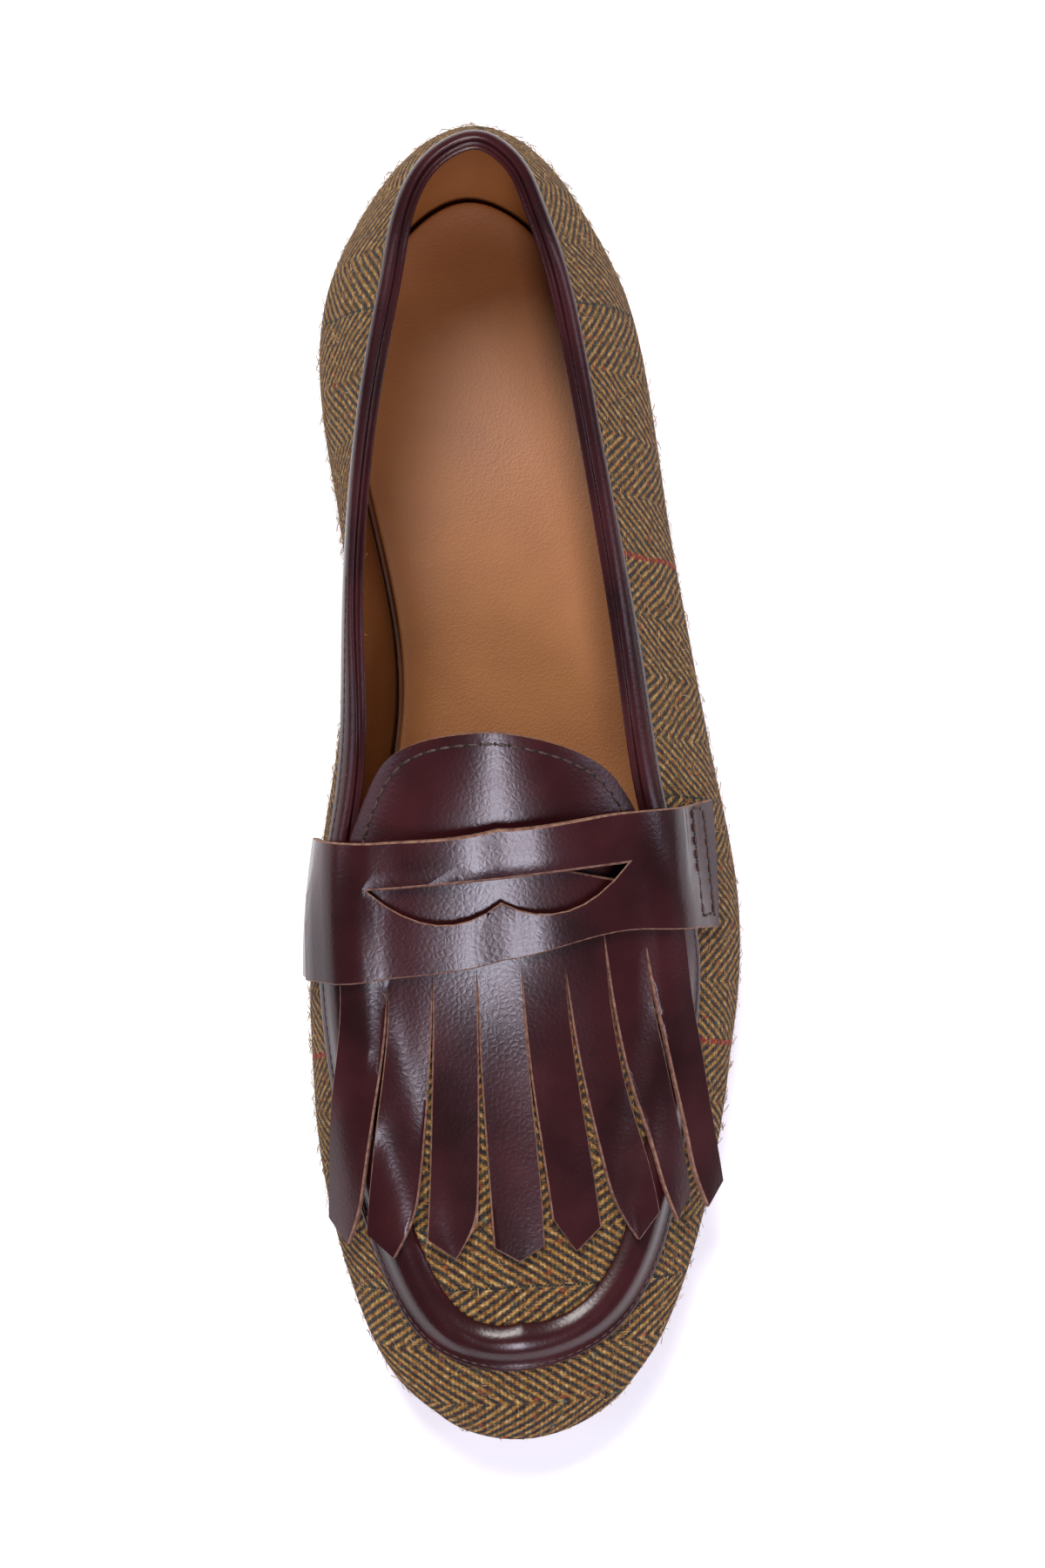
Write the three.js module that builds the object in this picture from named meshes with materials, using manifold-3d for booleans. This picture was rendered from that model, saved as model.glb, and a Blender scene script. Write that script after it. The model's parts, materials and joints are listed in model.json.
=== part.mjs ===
// Kiltie loafer for the left foot, in millimetres, +Z up.
// The toe points to -Y, the heel to +Y, and +X is the outer (lateral) side. The floor is z = 0.
// Every piece is worked out from one last: a feather line around the foot, the widest place of the wall above it,
// the collar and apron line, and the ridge along the top of the foot.

import * as THREE from "three";
import { mergeVertices } from "three/addons/utils/BufferGeometryUtils.js";
import Module from "manifold-3d";

const wasm = await Module();
wasm.setup();

// The last
const LENGTH = 258; // back of the heel to the toe tip
const BALL_WIDTH = 87; // across the forepart at its widest
const COLLAR_RISE = 57; // collar above the heel seat
const INSTEP_RISE = 51; // ridge above the sole under the strap
const TOE_SPRING = 7; // sole at the toe tip above the floor

// Sole, heel and insole
const SOLE_THICKNESS = 3.5;
const SOLE_MARGIN = 1.2; // the sole stands out this far beyond the feather line
const SOLE_BEVEL = 0.8;
const HEEL_HEIGHT = 10; // floor to the underside of the outsole
const TOP_PIECE_THICKNESS = 3.2;
const HEEL_LENGTH = 62;
const HEEL_TAPER = 1.6; // the stack is smaller by this at the floor, all round
const BREAST_CURVE = 4; // the heel's front face is hollow by this
const TREAD_START = 158; // the forepart lies flat on the floor from here
const TREAD_END = 192; // to here, measured from the back of the heel
const INSOLE_THICKNESS = 2.6;
const INSOLE_CUP = 1.4; // its edge stands higher than its middle
const INSOLE_CUP_WIDTH = 9;
const INSOLE_PLAY = 0.5; // between the insole's edge and the lining
const INSOLE_UNDERCUT = 0.4; // its lower corner is bevelled by this, over twice the height
const INSOLE_LIP = 0.6; // width of the flat on its raised edge

// Upper and leather trim
const WALL = 2.4; // tweed, stiffener and lining together
const GAP = 0.3; // pieces that touch are this far apart
const LEATHER = 1.3; // kiltie and tongue
const STRAP_LEATHER = 1.5;
const THROAT = 150; // front edge of the foot opening, under the strap
const BINDING_HEIGHT = 2.6; // bead on the collar's rim
const BINDING_OVERHANG = 0.3; // it stands out from the wall by this on the inside
const BINDING_GROOVE = 1.1;
const BINDING_SHOULDER = 0.5; // its outer and inner corners are at this share of its height
const BINDING_ROUND = 0.2; // its two ridges stand in by this from the wall's faces
const FLANGE_WIDTH = 2.3; // flat stitched edge outside the bead and the apron roll
const FLANGE_THICKNESS = 0.8;
const FLANGE_START = 62; // the flange comes out of the collar bead from here on
const FLANGE_FULL = 120; // and has its full width here
const ROLL_WIDTH = 7.6; // padded roll round the apron
const ROLL_HEIGHT = 2.5;
const ROLL_PROFILE = [0.85, 1, 0.8]; // shares of its height at a quarter, half and three quarters of its width
const ROLL_INNER_EDGE = 0.4; // thickness of its inner edge
const ROLL_HEIGHT_AT_THROAT = 1.3;

// Tongue
const TONGUE_TIP = 125;
const TONGUE_CORNER = 14; // length of its rounded corners
const TONGUE_ROUNDNESS = 3;
const TONGUE_SETBACK = 0.4; // it stops short of the collar bead by this

// Kiltie: a leather strip that is cut into a fringe
const KILTIE_BACK = 147.5;
const FRINGE_ROOT = 166; // the cuts start here
const FRINGE_COUNT = 8;
const FRINGE_WIDTH = 8.4;
const FRINGE_SHIFT = 3.4; // the kiltie's middle lies this far to the outer side of the ridge
const FRINGE_POINT = 4.6; // length of the arrow tip
const FRINGE_SPLAY = 1.6; // the strips spread apart more and more towards their tips
const FRINGE_SWELL = 0.7; // and reach most of their full width by the middle
const FRINGE_SLIT = 0.35; // least opening between two strips
const FRINGE_COLUMNS = 3; // facets across one strip
const KILTIE_CLIMB = 7; // the kiltie starts to rise this far inside the apron roll

// Strap
const STRAP_MIDDLE = 154.5; // middle of the strap on the ridge
const STRAP_WIDTH = 24;
const STRAP_CLEARANCE = 0.6; // between the kiltie and the strap
const STRAP_LANDING = 4; // beyond the roll it comes down to the wall within this length
const STRAP_DROP = 3; // it comes down from the kiltie's edge to the roll within this length
const STRAP_END_OUTER = 10.5; // it ends this far below the collar line on the outer side
const STRAP_END_INNER = 10;
const STRAP_END_TURN = 4; // its outer end is cut off slanting: it reaches further at the back
const SLOT_LENGTH = 50;
const SLOT_LOBE = 7.8;
const SLOT_CUSP = 5;
const SLOT_BOW = 1.6; // its straight edge dips towards the toe by half of this
const SLOT_TURN = -4.2; // degrees
const SLOT_BACK = 151; // straight edge of the slot, measured from the back of the heel

// Sections of the last, in per cent. Along and ridge along are of LENGTH. Across, side, seam and ridge across are of
// BALL_WIDTH: across is from the axis to the feather line, side and seam are outwards from the feather line to the
// widest place and to the collar line. The rises are of COLLAR_RISE in the quarters and INSTEP_RISE in the vamp.
const COLUMNS = [
  "along", "acrossOuter", "acrossInner", "sideOuter", "sideInner", "sideRiseOuter", "sideRiseInner",
  "seamOuter", "seamInner", "seamRiseOuter", "seamRiseInner", "ridgeAlong", "ridgeAcross", "ridgeRise",
];
const QUARTERS = {
  heelBack: [2.2, 0, 0, 6.4, 6.4, 33, 33, -7.4, -7.4, 100, 100, 17.4, -2.9, 141],
  heelCorner: [4.5, 14.9, 14.6, 5, 5, 33, 33, -9.6, -5.4, 98, 98, 18.2, -2.9, 141],
  heelTurn: [8.5, 23.6, 23.7, 4.4, 4.9, 32, 32, -12.4, -6.2, 94, 94, 19.4, -2.9, 140],
  heelSide: [14, 31, 31, 4.8, 5.1, 31, 31, -14, -9.3, 87, 88, 21.3, -2.9, 137],
  seat: [23.3, 35.1, 30.7, 5.2, 5.5, 28, 29, -13, -3.2, 77, 80, 26.4, -2.9, 129],
  waist: [34.1, 37.9, 24.7, 5.7, 6.4, 25, 31, -11.2, 7.1, 72, 77, 35.7, -2.3, 116],
  arch: [43.4, 40.8, 23, 7.2, 8.7, 23, 32, -10.7, 9.7, 71, 78, 43.8, -2.3, 107],
};
const VAMP = {
  instep: [51.9, 46, 28.7, 6.9, 8.2, 24, 33, -13.2, 5.6, 81, 88, 50.8, -2.3, 111],
  ballBack: [58.9, 50.9, 35.6, 5.1, 5, 23, 28, -12.6, 3, 71.5, 80.5, 57.4, -2.3, 100],
  ball: [65.9, 51.3, 39.3, 4, 4.4, 21.5, 24.5, -10.3, 0, 60, 68.5, 64.3, -1.7, 87],
  fore: [73.6, 47.1, 39.4, 4.4, 4.4, 20.5, 22.5, -8.9, -2.3, 51, 58, 72.1, -1.1, 74.5],
  toeSide: [81.4, 41.6, 36.6, 4.6, 4.8, 20.5, 21.5, -7, -4.4, 45, 50, 79.1, -0.3, 66.5],
  toeTurn: [89.1, 32.8, 30.2, 5.3, 5.3, 21, 21, -6.2, -5.4, 41, 42.5, 84.9, 0, 59.5],
  toeCorner: [95, 20.9, 20.5, 5.7, 5.7, 21, 21, -10, -9.2, 38.5, 39.5, 88.4, 0, 54],
  toeTip: [98.1, 0, 0, 5.7, 5.7, 21, 21, -13.2, -13.2, 38, 38, 89.9, 0, 51.5],
};

// The strap's middle line from its inner end to its outer end, at equal steps: how far it lies further back than
// STRAP_MIDDLE, in shares of STRAP_WIDTH.
const STRAP_BACKSET = [0.16, 0.05, 0.04, 0.36, 0.45];

// Fringe strips from the inner side to the outer. Root and tip are distances across the last from the ridge, and
// width is the width at the tip, all in strip widths. Reach is how far the tip lies from the back of the heel, in
// per cent of LENGTH. Tilt is how far one side is raised, in thicknesses of the leather: the outer side if positive.
const FRINGE = [
  { root: -3.5, tip: -4.35, width: 1.08, reach: 81.5, tilt: 0.3 },
  { root: -2.5, tip: -3.2, width: 1.1, reach: 82.9, tilt: -0.6 },
  { root: -1.5, tip: -1.9, width: 1.2, reach: 84.3, tilt: 0.6 },
  { root: -0.5, tip: -0.4, width: 1.25, reach: 86.4, tilt: 0.7 },
  { root: 0.5, tip: 0.97, width: 1.22, reach: 84.5, tilt: -0.7 },
  { root: 1.5, tip: 2.33, width: 1.03, reach: 83, tilt: 0.4 },
  { root: 2.5, tip: 3.35, width: 0.93, reach: 81.5, tilt: -0.5 },
  { root: 3.5, tip: 4.33, width: 0.95, reach: 80.3, tilt: 0.6 },
];

const clamp01 = (v) => Math.min(1, Math.max(0, v));
const smooth = (v) => clamp01(v) ** 2 * (3 - 2 * clamp01(v));
const mix = (a, b, share) => a + (b - a) * share;
const toY = (along) => LENGTH / 2 - along;

// Underside of the outsole: level over the heel, down through the waist, flat at the tread, up to the toe.
function soleBottom(along) {
  const waist = (along - HEEL_LENGTH) / (TREAD_START - HEEL_LENGTH);
  const toe = Math.max(0, (along - TREAD_END) / (LENGTH - TREAD_END));
  return HEEL_HEIGHT * (0.5 + 0.5 * Math.cos(Math.PI * clamp01(waist))) + TOE_SPRING * toe ** 1.8;
}
const featherHeight = (along) => soleBottom(along) + SOLE_THICKNESS;

// Rows of the two tables in millimetres.
function rowsOf(table, rise) {
  return Object.values(table).map((values) => {
    const row = {};
    COLUMNS.forEach((name, i) => {
      const size = /[Aa]long/.test(name) ? LENGTH : /Rise/.test(name) ? rise : BALL_WIDTH;
      row[name] = (values[i] / 100) * size;
    });
    return row;
  });
}
const ROWS = [...rowsOf(QUARTERS, COLLAR_RISE), ...rowsOf(VAMP, INSTEP_RISE)];
const LAST_ROW = ROWS.length - 1;
const LOOP = 2 * LAST_ROW; // outer side from heel to toe, then inner side back to the heel

// A closed cubic spline through values at 0, 1, 2 and so on. It returns the value and the slope.
function closedSpline(values) {
  const n = values.length;
  const at = (list, i) => list[((i % n) + n) % n];
  const slopes = values.map(() => 0);
  for (let pass = 0; pass < 60; pass++) {
    for (let i = 0; i < n; i++) {
      const chord = 3 * (at(values, i + 1) - at(values, i - 1));
      slopes[i] = (chord - at(slopes, i - 1) - at(slopes, i + 1)) / 4;
    }
  }
  return (k) => {
    const i = Math.floor(k);
    const t = k - i;
    const [p, q, m, s] = [at(values, i), at(values, i + 1), at(slopes, i), at(slopes, i + 1)];
    const c = 3 * (q - p) - 2 * m - s;
    const d = 2 * (p - q) + m + s;
    return { value: p + t * (m + t * (c + t * d)), slope: m + t * (2 * c + 3 * d * t) };
  };
}

function loopColumn(outer, inner = outer, innerSign = 1) {
  const values = ROWS.map((row) => row[outer]);
  for (let i = LAST_ROW - 1; i > 0; i--) values.push(innerSign * ROWS[i][inner]);
  return closedSpline(values);
}
const column = {
  along: loopColumn("along"),
  across: loopColumn("acrossOuter", "acrossInner", -1),
  side: loopColumn("sideOuter", "sideInner"),
  sideRise: loopColumn("sideRiseOuter", "sideRiseInner"),
  seam: loopColumn("seamOuter", "seamInner"),
  seamRise: loopColumn("seamRiseOuter", "seamRiseInner"),
  ridgeAlong: loopColumn("ridgeAlong"),
  ridgeAcross: loopColumn("ridgeAcross"),
  ridgeRise: loopColumn("ridgeRise"),
};

// Outer surface of the upper on the last. Place k runs round the loop, and level t runs up the wall: 0 at the
// feather line, 1 at the widest place, 2 at the collar line and 3 on the ridge.
const FEATHER = 0;
const COLLAR = 2;
const RIDGE = 3;
const FREE_COLLAR_ROW = Object.keys(QUARTERS).indexOf("seat");
const THROAT_SIDE_ROW = Object.keys(QUARTERS).length;
const rowOf = (k) => (k > LAST_ROW ? LOOP - k : k);
function ridgePoint(k) {
  const along = column.ridgeAlong(k).value;
  const height = featherHeight(along) + column.ridgeRise(k).value;
  return new THREE.Vector3(column.ridgeAcross(k).value, toY(along), height);
}
// Rise of the ridge for each millimetre towards the heel.
function ridgeSlope(k) {
  const row = rowOf(k);
  const ahead = ridgePoint(Math.min(row + 0.05, LAST_ROW));
  const step = ridgePoint(Math.max(row - 0.05, 0)).sub(ahead);
  return step.z / step.y;
}
function outwards(k) {
  return new THREE.Vector3(column.along(k).slope, column.across(k).slope, 0).normalize();
}
const sections = new Map();
function sectionAt(k) {
  const key = Math.round((((k % LOOP) + LOOP) % LOOP) * 1e6);
  if (sections.has(key)) return sections.get(key);
  const along = column.along(k).value;
  const feather = new THREE.Vector3(column.across(k).value, toY(along), featherHeight(along) + GAP);
  const raised = (out, rise) =>
    feather.clone().addScaledVector(outwards(k), out).add(new THREE.Vector3(0, 0, rise));
  const points = [
    feather,
    raised(column.side(k).value, column.sideRise(k).value),
    raised(column.seam(k).value, column.seamRise(k).value),
    ridgePoint(k),
  ];
  const steps = [0, 1, 2].map((i) => points[i + 1].clone().sub(points[i]));
  const spans = steps.map((step) => step.length());
  const slope = steps.map((step, i) => step.clone().divideScalar(spans[i]));
  const tangents = [null, null, null, null];
  for (const i of [1, 2]) {
    tangents[i] = slope[i - 1].clone().multiplyScalar(spans[i]).addScaledVector(slope[i], spans[i - 1]);
    tangents[i].divideScalar(spans[i - 1] + spans[i]);
  }
  // Where nothing lies above the collar, the wall ends there as freely as it does at the feather line.
  const free = slope[1].clone().multiplyScalar(1.5).addScaledVector(tangents[1], -0.5);
  tangents[2].lerp(free, 1 - smooth((rowOf(k) - FREE_COLLAR_ROW) / (THROAT_SIDE_ROW - FREE_COLLAR_ROW)));
  tangents[0] = slope[0].clone().multiplyScalar(1.5).addScaledVector(tangents[1], -0.5);
  const flat = new THREE.Vector3(steps[2].x, steps[2].y, 0).normalize();
  tangents[3] = new THREE.Vector3(flat.x, flat.y, ridgeSlope(k) * flat.y);
  const made = { points, tangents, spans };
  sections.set(key, made);
  return made;
}
function onSection(section, t) {
  const i = Math.min(2, Math.max(0, Math.floor(t)));
  const s = t - i;
  const { points, tangents, spans } = section;
  const [a, b] = [s * s * (3 - 2 * s), s * (1 - s) * (1 - s) * spans[i]];
  const c = -s * s * (1 - s) * spans[i];
  const point = points[i].clone().multiplyScalar(1 - a).addScaledVector(points[i + 1], a);
  return point.addScaledVector(tangents[i], b).addScaledVector(tangents[i + 1], c);
}
const onLast = (k, t) => onSection(sectionAt(k), t);
function normalAt(k, t) {
  if (t > RIDGE - 1e-6) return new THREE.Vector3(0, -ridgeSlope(k), 1).normalize();
  const step = 0.03;
  const low = Math.max(FEATHER, t - step);
  const high = Math.min(RIDGE, t + step);
  const up = onLast(k, high).sub(onLast(k, low));
  const round = onLast(k + step, t).sub(onLast(k - step, t));
  return up.cross(round).normalize();
}
const lifted = (k, t, lift) => onLast(k, t).addScaledVector(normalAt(k, t), lift);

// Places on the vamp are also given by station, the ridge's distance from the back of the heel, and by arc, the
// distance across the last from the ridge, outer side positive.
function rowAtStation(station) {
  let [low, high] = [2, LAST_ROW];
  for (let i = 0; i < 40; i++) {
    const middle = (low + high) / 2;
    if (column.ridgeAlong(middle).value < station) low = middle;
    else high = middle;
  }
  return (low + high) / 2;
}
const placeOf = (row, outer) => (outer ? row : LOOP - row);
const ARC_STEPS = 90;
const arcTables = new Map();
function arcTable(k) {
  const key = Math.round(k * 1e6);
  if (arcTables.has(key)) return arcTables.get(key);
  const table = [0];
  let previous = onLast(k, RIDGE);
  for (let i = 1; i <= ARC_STEPS; i++) {
    const next = onLast(k, RIDGE * (1 - i / ARC_STEPS));
    table.push(table[i - 1] + next.distanceTo(previous));
    previous = next;
  }
  arcTables.set(key, table);
  return table;
}
function levelAtArc(k, arc) {
  const table = arcTable(k);
  let i = 1;
  while (i < ARC_STEPS && table[i] < arc) i++;
  const share = (arc - table[i - 1]) / (table[i] - table[i - 1]);
  return RIDGE * (1 - (i - 1 + share) / ARC_STEPS);
}
function collarArc(k) {
  const table = arcTable(k);
  const place = ARC_STEPS * (1 - COLLAR / RIDGE);
  return mix(table[Math.floor(place)], table[Math.ceil(place)], place % 1);
}
function onVamp(station, arc, lift) {
  const k = placeOf(rowAtStation(station), arc >= 0);
  return lifted(k, levelAtArc(k, Math.abs(arc)), lift);
}

// A mesh from points and the faces between them. A face is a list of three or four corners, seen from outside in
// anticlockwise order.
function geometryOf(faces) {
  const positions = [];
  for (const face of faces) {
    for (let i = 2; i < face.length; i++) {
      for (const corner of [face[0], face[i - 1], face[i]]) positions.push(...corner.toArray());
    }
  }
  const geometry = new THREE.BufferGeometry();
  geometry.setAttribute("position", new THREE.Float32BufferAttribute(positions, 3));
  const merged = mergeVertices(geometry, 1e-3);
  const index = merged.index.array;
  const kept = [];
  for (let i = 0; i < index.length; i += 3) {
    const [a, b, c] = [index[i], index[i + 1], index[i + 2]];
    if (a !== b && b !== c && a !== c) kept.push(a, b, c);
  }
  merged.setIndex(kept);
  return merged;
}
// The quads between two rows of points.
function between(low, high) {
  return low.slice(1).map((_, i) => [low[i], low[i + 1], high[i + 1], high[i]]);
}
// A sheet with an upper and a lower face. Both are grids, lists of rows that run the same way.
function sheet(upper, lower) {
  const faces = [];
  const last = upper.length - 1;
  for (let j = 0; j < last; j++) {
    faces.push(...between(upper[j], upper[j + 1]));
    faces.push(...between(lower[j + 1], lower[j]));
  }
  faces.push(...between(lower[0], upper[0]), ...between(upper[last], lower[last]));
  const edge = (grid, end) => grid.map((row) => row.at(end));
  faces.push(...between(edge(upper, 0), edge(lower, 0)), ...between(edge(lower, -1), edge(upper, -1)));
  return faces;
}
// A bar whose outline, a closed list of points, is given at each place along it. Closed bars join end to start.
function bar(outlines, closed) {
  const ring = (outline) => [...outline, outline[0]];
  const faces = [];
  for (let i = 1; i < outlines.length; i++) faces.push(...between(ring(outlines[i - 1]), ring(outlines[i])));
  if (closed) faces.push(...between(ring(outlines.at(-1)), ring(outlines[0])));
  else faces.push([...outlines[0]].reverse(), outlines.at(-1));
  return faces;
}
const spread = (from, to, count) => Array.from({ length: count + 1 }, (_, i) => mix(from, to, i / count));

function materialOf(colour, roughness) {
  return new THREE.MeshStandardMaterial({ color: colour, roughness, metalness: 0 });
}
const tweed = materialOf(0x5c4a30, 0.95);
const burgundyLeather = materialOf(0x3a1c20, 0.35);
const tanLeather = materialOf(0x9a6236, 0.6);
const soleLeather = materialOf(0x8a5a34, 0.6);
const heelLeather = materialOf(0x4a2a1c, 0.5);
const heelRubber = materialOf(0x1c1a19, 0.85);

const shoe = new THREE.Group();
function add(name, faces, material) {
  const mesh = new THREE.Mesh(faces.isBufferGeometry ? faces : geometryOf(faces), material);
  mesh.name = name;
  shoe.add(mesh);
}

// Places round the loop at which the pieces have their corners. The throat falls on one of them, on both sides.
const THROAT_ROW = rowAtStation(THROAT);
const QUARTER_STEPS = 20;
const VAMP_STEPS = 16;
const outerRows = [
  ...spread(0, THROAT_ROW, QUARTER_STEPS),
  ...spread(THROAT_ROW, LAST_ROW, VAMP_STEPS).slice(1),
];
const innerRows = outerRows.slice(1, -1).reverse();
const places = [...outerRows, ...innerRows.map((row) => placeOf(row, false))];
const WALL_LEVELS = [0, 0.5, 1, 1.33, 1.67, 2];
const PLUG_LEVELS = [2, 2.25, 2.5, 2.75, 3];

// Upper: one wall, open at the collar and underneath.
function upperFaces() {
  const outside = (k, t) => onLast(k, t);
  const inside = (k, t) => {
    if (t > FEATHER) return lifted(k, t, -WALL);
    return onLast(k, t).addScaledVector(outwards(k), -WALL);
  };
  const ring = (skin, t) => [...places, places[0]].map((k) => skin(k, t));
  const faces = [];
  for (let j = 1; j < WALL_LEVELS.length; j++) {
    faces.push(...between(ring(outside, WALL_LEVELS[j]), ring(outside, WALL_LEVELS[j - 1])));
    faces.push(...between(ring(inside, WALL_LEVELS[j - 1]), ring(inside, WALL_LEVELS[j])));
  }
  faces.push(...between(ring(outside, FEATHER), ring(inside, FEATHER)));
  const vampRows = spread(THROAT_ROW, LAST_ROW, VAMP_STEPS);
  for (const outer of [true, false]) {
    const line = (skin, t) => vampRows.map((row) => skin(placeOf(row, outer), t));
    const turn = (low, high) => (outer ? between(high, low) : between(low, high));
    for (let j = 1; j < PLUG_LEVELS.length; j++) {
      const [low, high] = [PLUG_LEVELS[j - 1], PLUG_LEVELS[j]];
      faces.push(...turn(line(outside, low), line(outside, high)));
      faces.push(...turn(line(inside, high), line(inside, low)));
    }
    const k = placeOf(THROAT_ROW, outer);
    const front = (skin) => PLUG_LEVELS.map((t) => skin(k, t));
    faces.push(...turn(front(outside), front(inside)));
  }
  const rim = (from, to) => {
    const run = spread(from, to, QUARTER_STEPS);
    return between(run.map((k) => inside(k, COLLAR)), run.map((k) => outside(k, COLLAR)));
  };
  faces.push(...rim(0, THROAT_ROW), ...rim(placeOf(THROAT_ROW, false), LOOP));
  return faces;
}

// A plan outline at a distance from the feather line, as pairs across the shoe from heel to toe.
function outlinePoint(k, out, height) {
  const along = column.along(k).value;
  const point = new THREE.Vector3(column.across(k).value, toY(along), 0);
  point.addScaledVector(outwards(k), out);
  point.z = height(LENGTH / 2 - point.y);
  return point;
}
// A slab from rings of points round the loop, closed above and below by strips across the shoe.
function slab(rings) {
  const faces = [];
  const round = (ring) => [...ring, ring[0]];
  for (let j = 1; j < rings.length; j++) faces.push(...between(round(rings[j]), round(rings[j - 1])));
  const cap = (ring, up) => {
    const n = ring.length;
    for (let i = 0; i < n / 2; i++) {
      const quad = [ring[i], ring[i + 1], ring[(n - i - 1) % n], ring[(n - i) % n]];
      faces.push(up ? quad.reverse() : quad);
    }
  };
  cap(rings[0], false);
  cap(rings.at(-1), true);
  return faces;
}

function outsoleFaces() {
  const ring = (out, height) => places.map((k) => outlinePoint(k, out, height));
  const above = (rise) => (along) => soleBottom(along) + rise;
  return slab([
    ring(SOLE_MARGIN - SOLE_BEVEL, soleBottom),
    ring(SOLE_MARGIN, above(SOLE_BEVEL)),
    ring(SOLE_MARGIN, above(SOLE_THICKNESS - SOLE_BEVEL / 2)),
    ring(SOLE_MARGIN - SOLE_BEVEL / 2, above(SOLE_THICKNESS)),
  ]);
}

// The insole fills the inside of the wall and is cupped at its edge.
function insoleFaces() {
  const edge = -(WALL + INSOLE_PLAY);
  const above = (rise) => (along) => featherHeight(along) + GAP + rise;
  const ring = (out, rise) => places.map((k) => outlinePoint(k, out, above(rise)));
  return slab([
    ring(edge - INSOLE_UNDERCUT, 0),
    ring(edge, 2 * INSOLE_UNDERCUT),
    ring(edge, INSOLE_THICKNESS + INSOLE_CUP - INSOLE_UNDERCUT),
    ring(edge - INSOLE_LIP, INSOLE_THICKNESS + INSOLE_CUP),
    ring(edge - INSOLE_CUP_WIDTH / 2, INSOLE_THICKNESS + INSOLE_CUP * 0.25),
    ring(edge - INSOLE_CUP_WIDTH, INSOLE_THICKNESS),
  ]);
}

// A heel block between two heights. Its sides follow the sole, and its front is a hollow curve.
const HEEL_STEPS = 12;
const BREAST_STEPS = 6;
function heelFaces(low, high) {
  const breastRow = rowAtAlong(HEEL_LENGTH);
  const level = (height) => {
    const out = SOLE_MARGIN - HEEL_TAPER * (1 - height / HEEL_HEIGHT);
    const side = (from, to) =>
      spread(from, to, HEEL_STEPS).map((k) => outlinePoint(k, out, () => height));
    const outer = side(0, breastRow);
    const inner = side(placeOf(breastRow, false), LOOP);
    const [start, end] = [outer.at(-1), inner[0]];
    const breast = spread(0, 1, BREAST_STEPS).slice(1, -1).map((share) => {
      const point = start.clone().lerp(end, share);
      point.y += BREAST_CURVE * 4 * share * (1 - share);
      return point;
    });
    return [...outer, ...breast, ...inner.slice(0, -1)];
  };
  const [bottom, top] = [level(low), level(high)];
  const faces = between([...top, top[0]], [...bottom, bottom[0]]);
  const middle = (ring) => new THREE.Vector3(0, toY(HEEL_LENGTH / 2), ring[0].z);
  const fan = (ring, up) => {
    const centre = middle(ring);
    ring.forEach((point, i) => {
      const next = ring[(i + 1) % ring.length];
      faces.push(up ? [centre, next, point] : [centre, point, next]);
    });
  };
  fan(bottom, false);
  fan(top, true);
  return faces;
}
function rowAtAlong(along) {
  let [low, high] = [0, LAST_ROW];
  for (let i = 0; i < 40; i++) {
    const middle = (low + high) / 2;
    if (column.along(middle).value < along) low = middle;
    else high = middle;
  }
  return (low + high) / 2;
}

// Tongue: a leather sheet in the opening, level with the last, from under the strap to its rounded tip.
function tongueFaces() {
  const halfWidth = (station, outer) => {
    const k = placeOf(rowAtStation(station), outer);
    return collarArc(k) - BINDING_HEIGHT - GAP - TONGUE_SETBACK;
  };
  const front = THROAT - GAP;
  const columns = spread(-1, 1, 14);
  const rowsUp = spread(0, 1, 5);
  const grid = (lift) =>
    rowsUp.map((up) =>
      columns.map((across) => {
        const bent = 1 - (1 - Math.abs(across) ** TONGUE_ROUNDNESS) ** (1 / TONGUE_ROUNDNESS);
        const station = mix(TONGUE_TIP + TONGUE_CORNER * bent, front, up);
        return onVamp(station, across * halfWidth(station, across >= 0), lift);
      }),
    );
  return sheet(grid(0).reverse(), grid(-LEATHER).reverse());
}

// How wide the flange is at a place on the loop, and how high the apron roll is.
function flangeWidth(k) {
  const share = smooth((column.along(k).value - FLANGE_START) / (FLANGE_FULL - FLANGE_START));
  return mix(BINDING_OVERHANG, FLANGE_WIDTH, share);
}
function rollHeight(k) {
  return mix(ROLL_HEIGHT_AT_THROAT, ROLL_HEIGHT, smooth((rowOf(k) - THROAT_ROW) / 2));
}

// Binding: a bead with a groove, on the collar's rim from one end of the throat round the heel to the other.
function bindingFaces() {
  const outlineAt = (k) => {
    const normal = normalAt(k, COLLAR);
    const rim = onLast(k, COLLAR);
    const up = rim.clone().sub(onLast(k, COLLAR - 0.05)).normalize();
    const inner = -WALL - BINDING_OVERHANG;
    const place = (out, rise) => rim.clone().addScaledVector(normal, out).addScaledVector(up, rise);
    const edge = levelAtArc(k, collarArc(k) + flangeWidth(k));
    return [
      place(inner, GAP),
      place(GAP, GAP),
      lifted(k, edge, GAP),
      lifted(k, edge, GAP + FLANGE_THICKNESS),
      place(GAP + FLANGE_THICKNESS, BINDING_HEIGHT * BINDING_SHOULDER),
      place(-BINDING_ROUND, BINDING_HEIGHT),
      place(-WALL / 2, BINDING_HEIGHT - BINDING_GROOVE),
      place(-WALL + BINDING_ROUND, BINDING_HEIGHT),
      place(inner, BINDING_HEIGHT * BINDING_SHOULDER),
    ];
  };
  const run = spread(-THROAT_ROW, THROAT_ROW, 2 * QUARTER_STEPS);
  run[0] = -rowAtStation(THROAT - GAP);
  run[run.length - 1] = -run[0];
  return bar(run.map((k) => outlineAt(k < 0 ? LOOP + k : k)));
}

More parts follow.
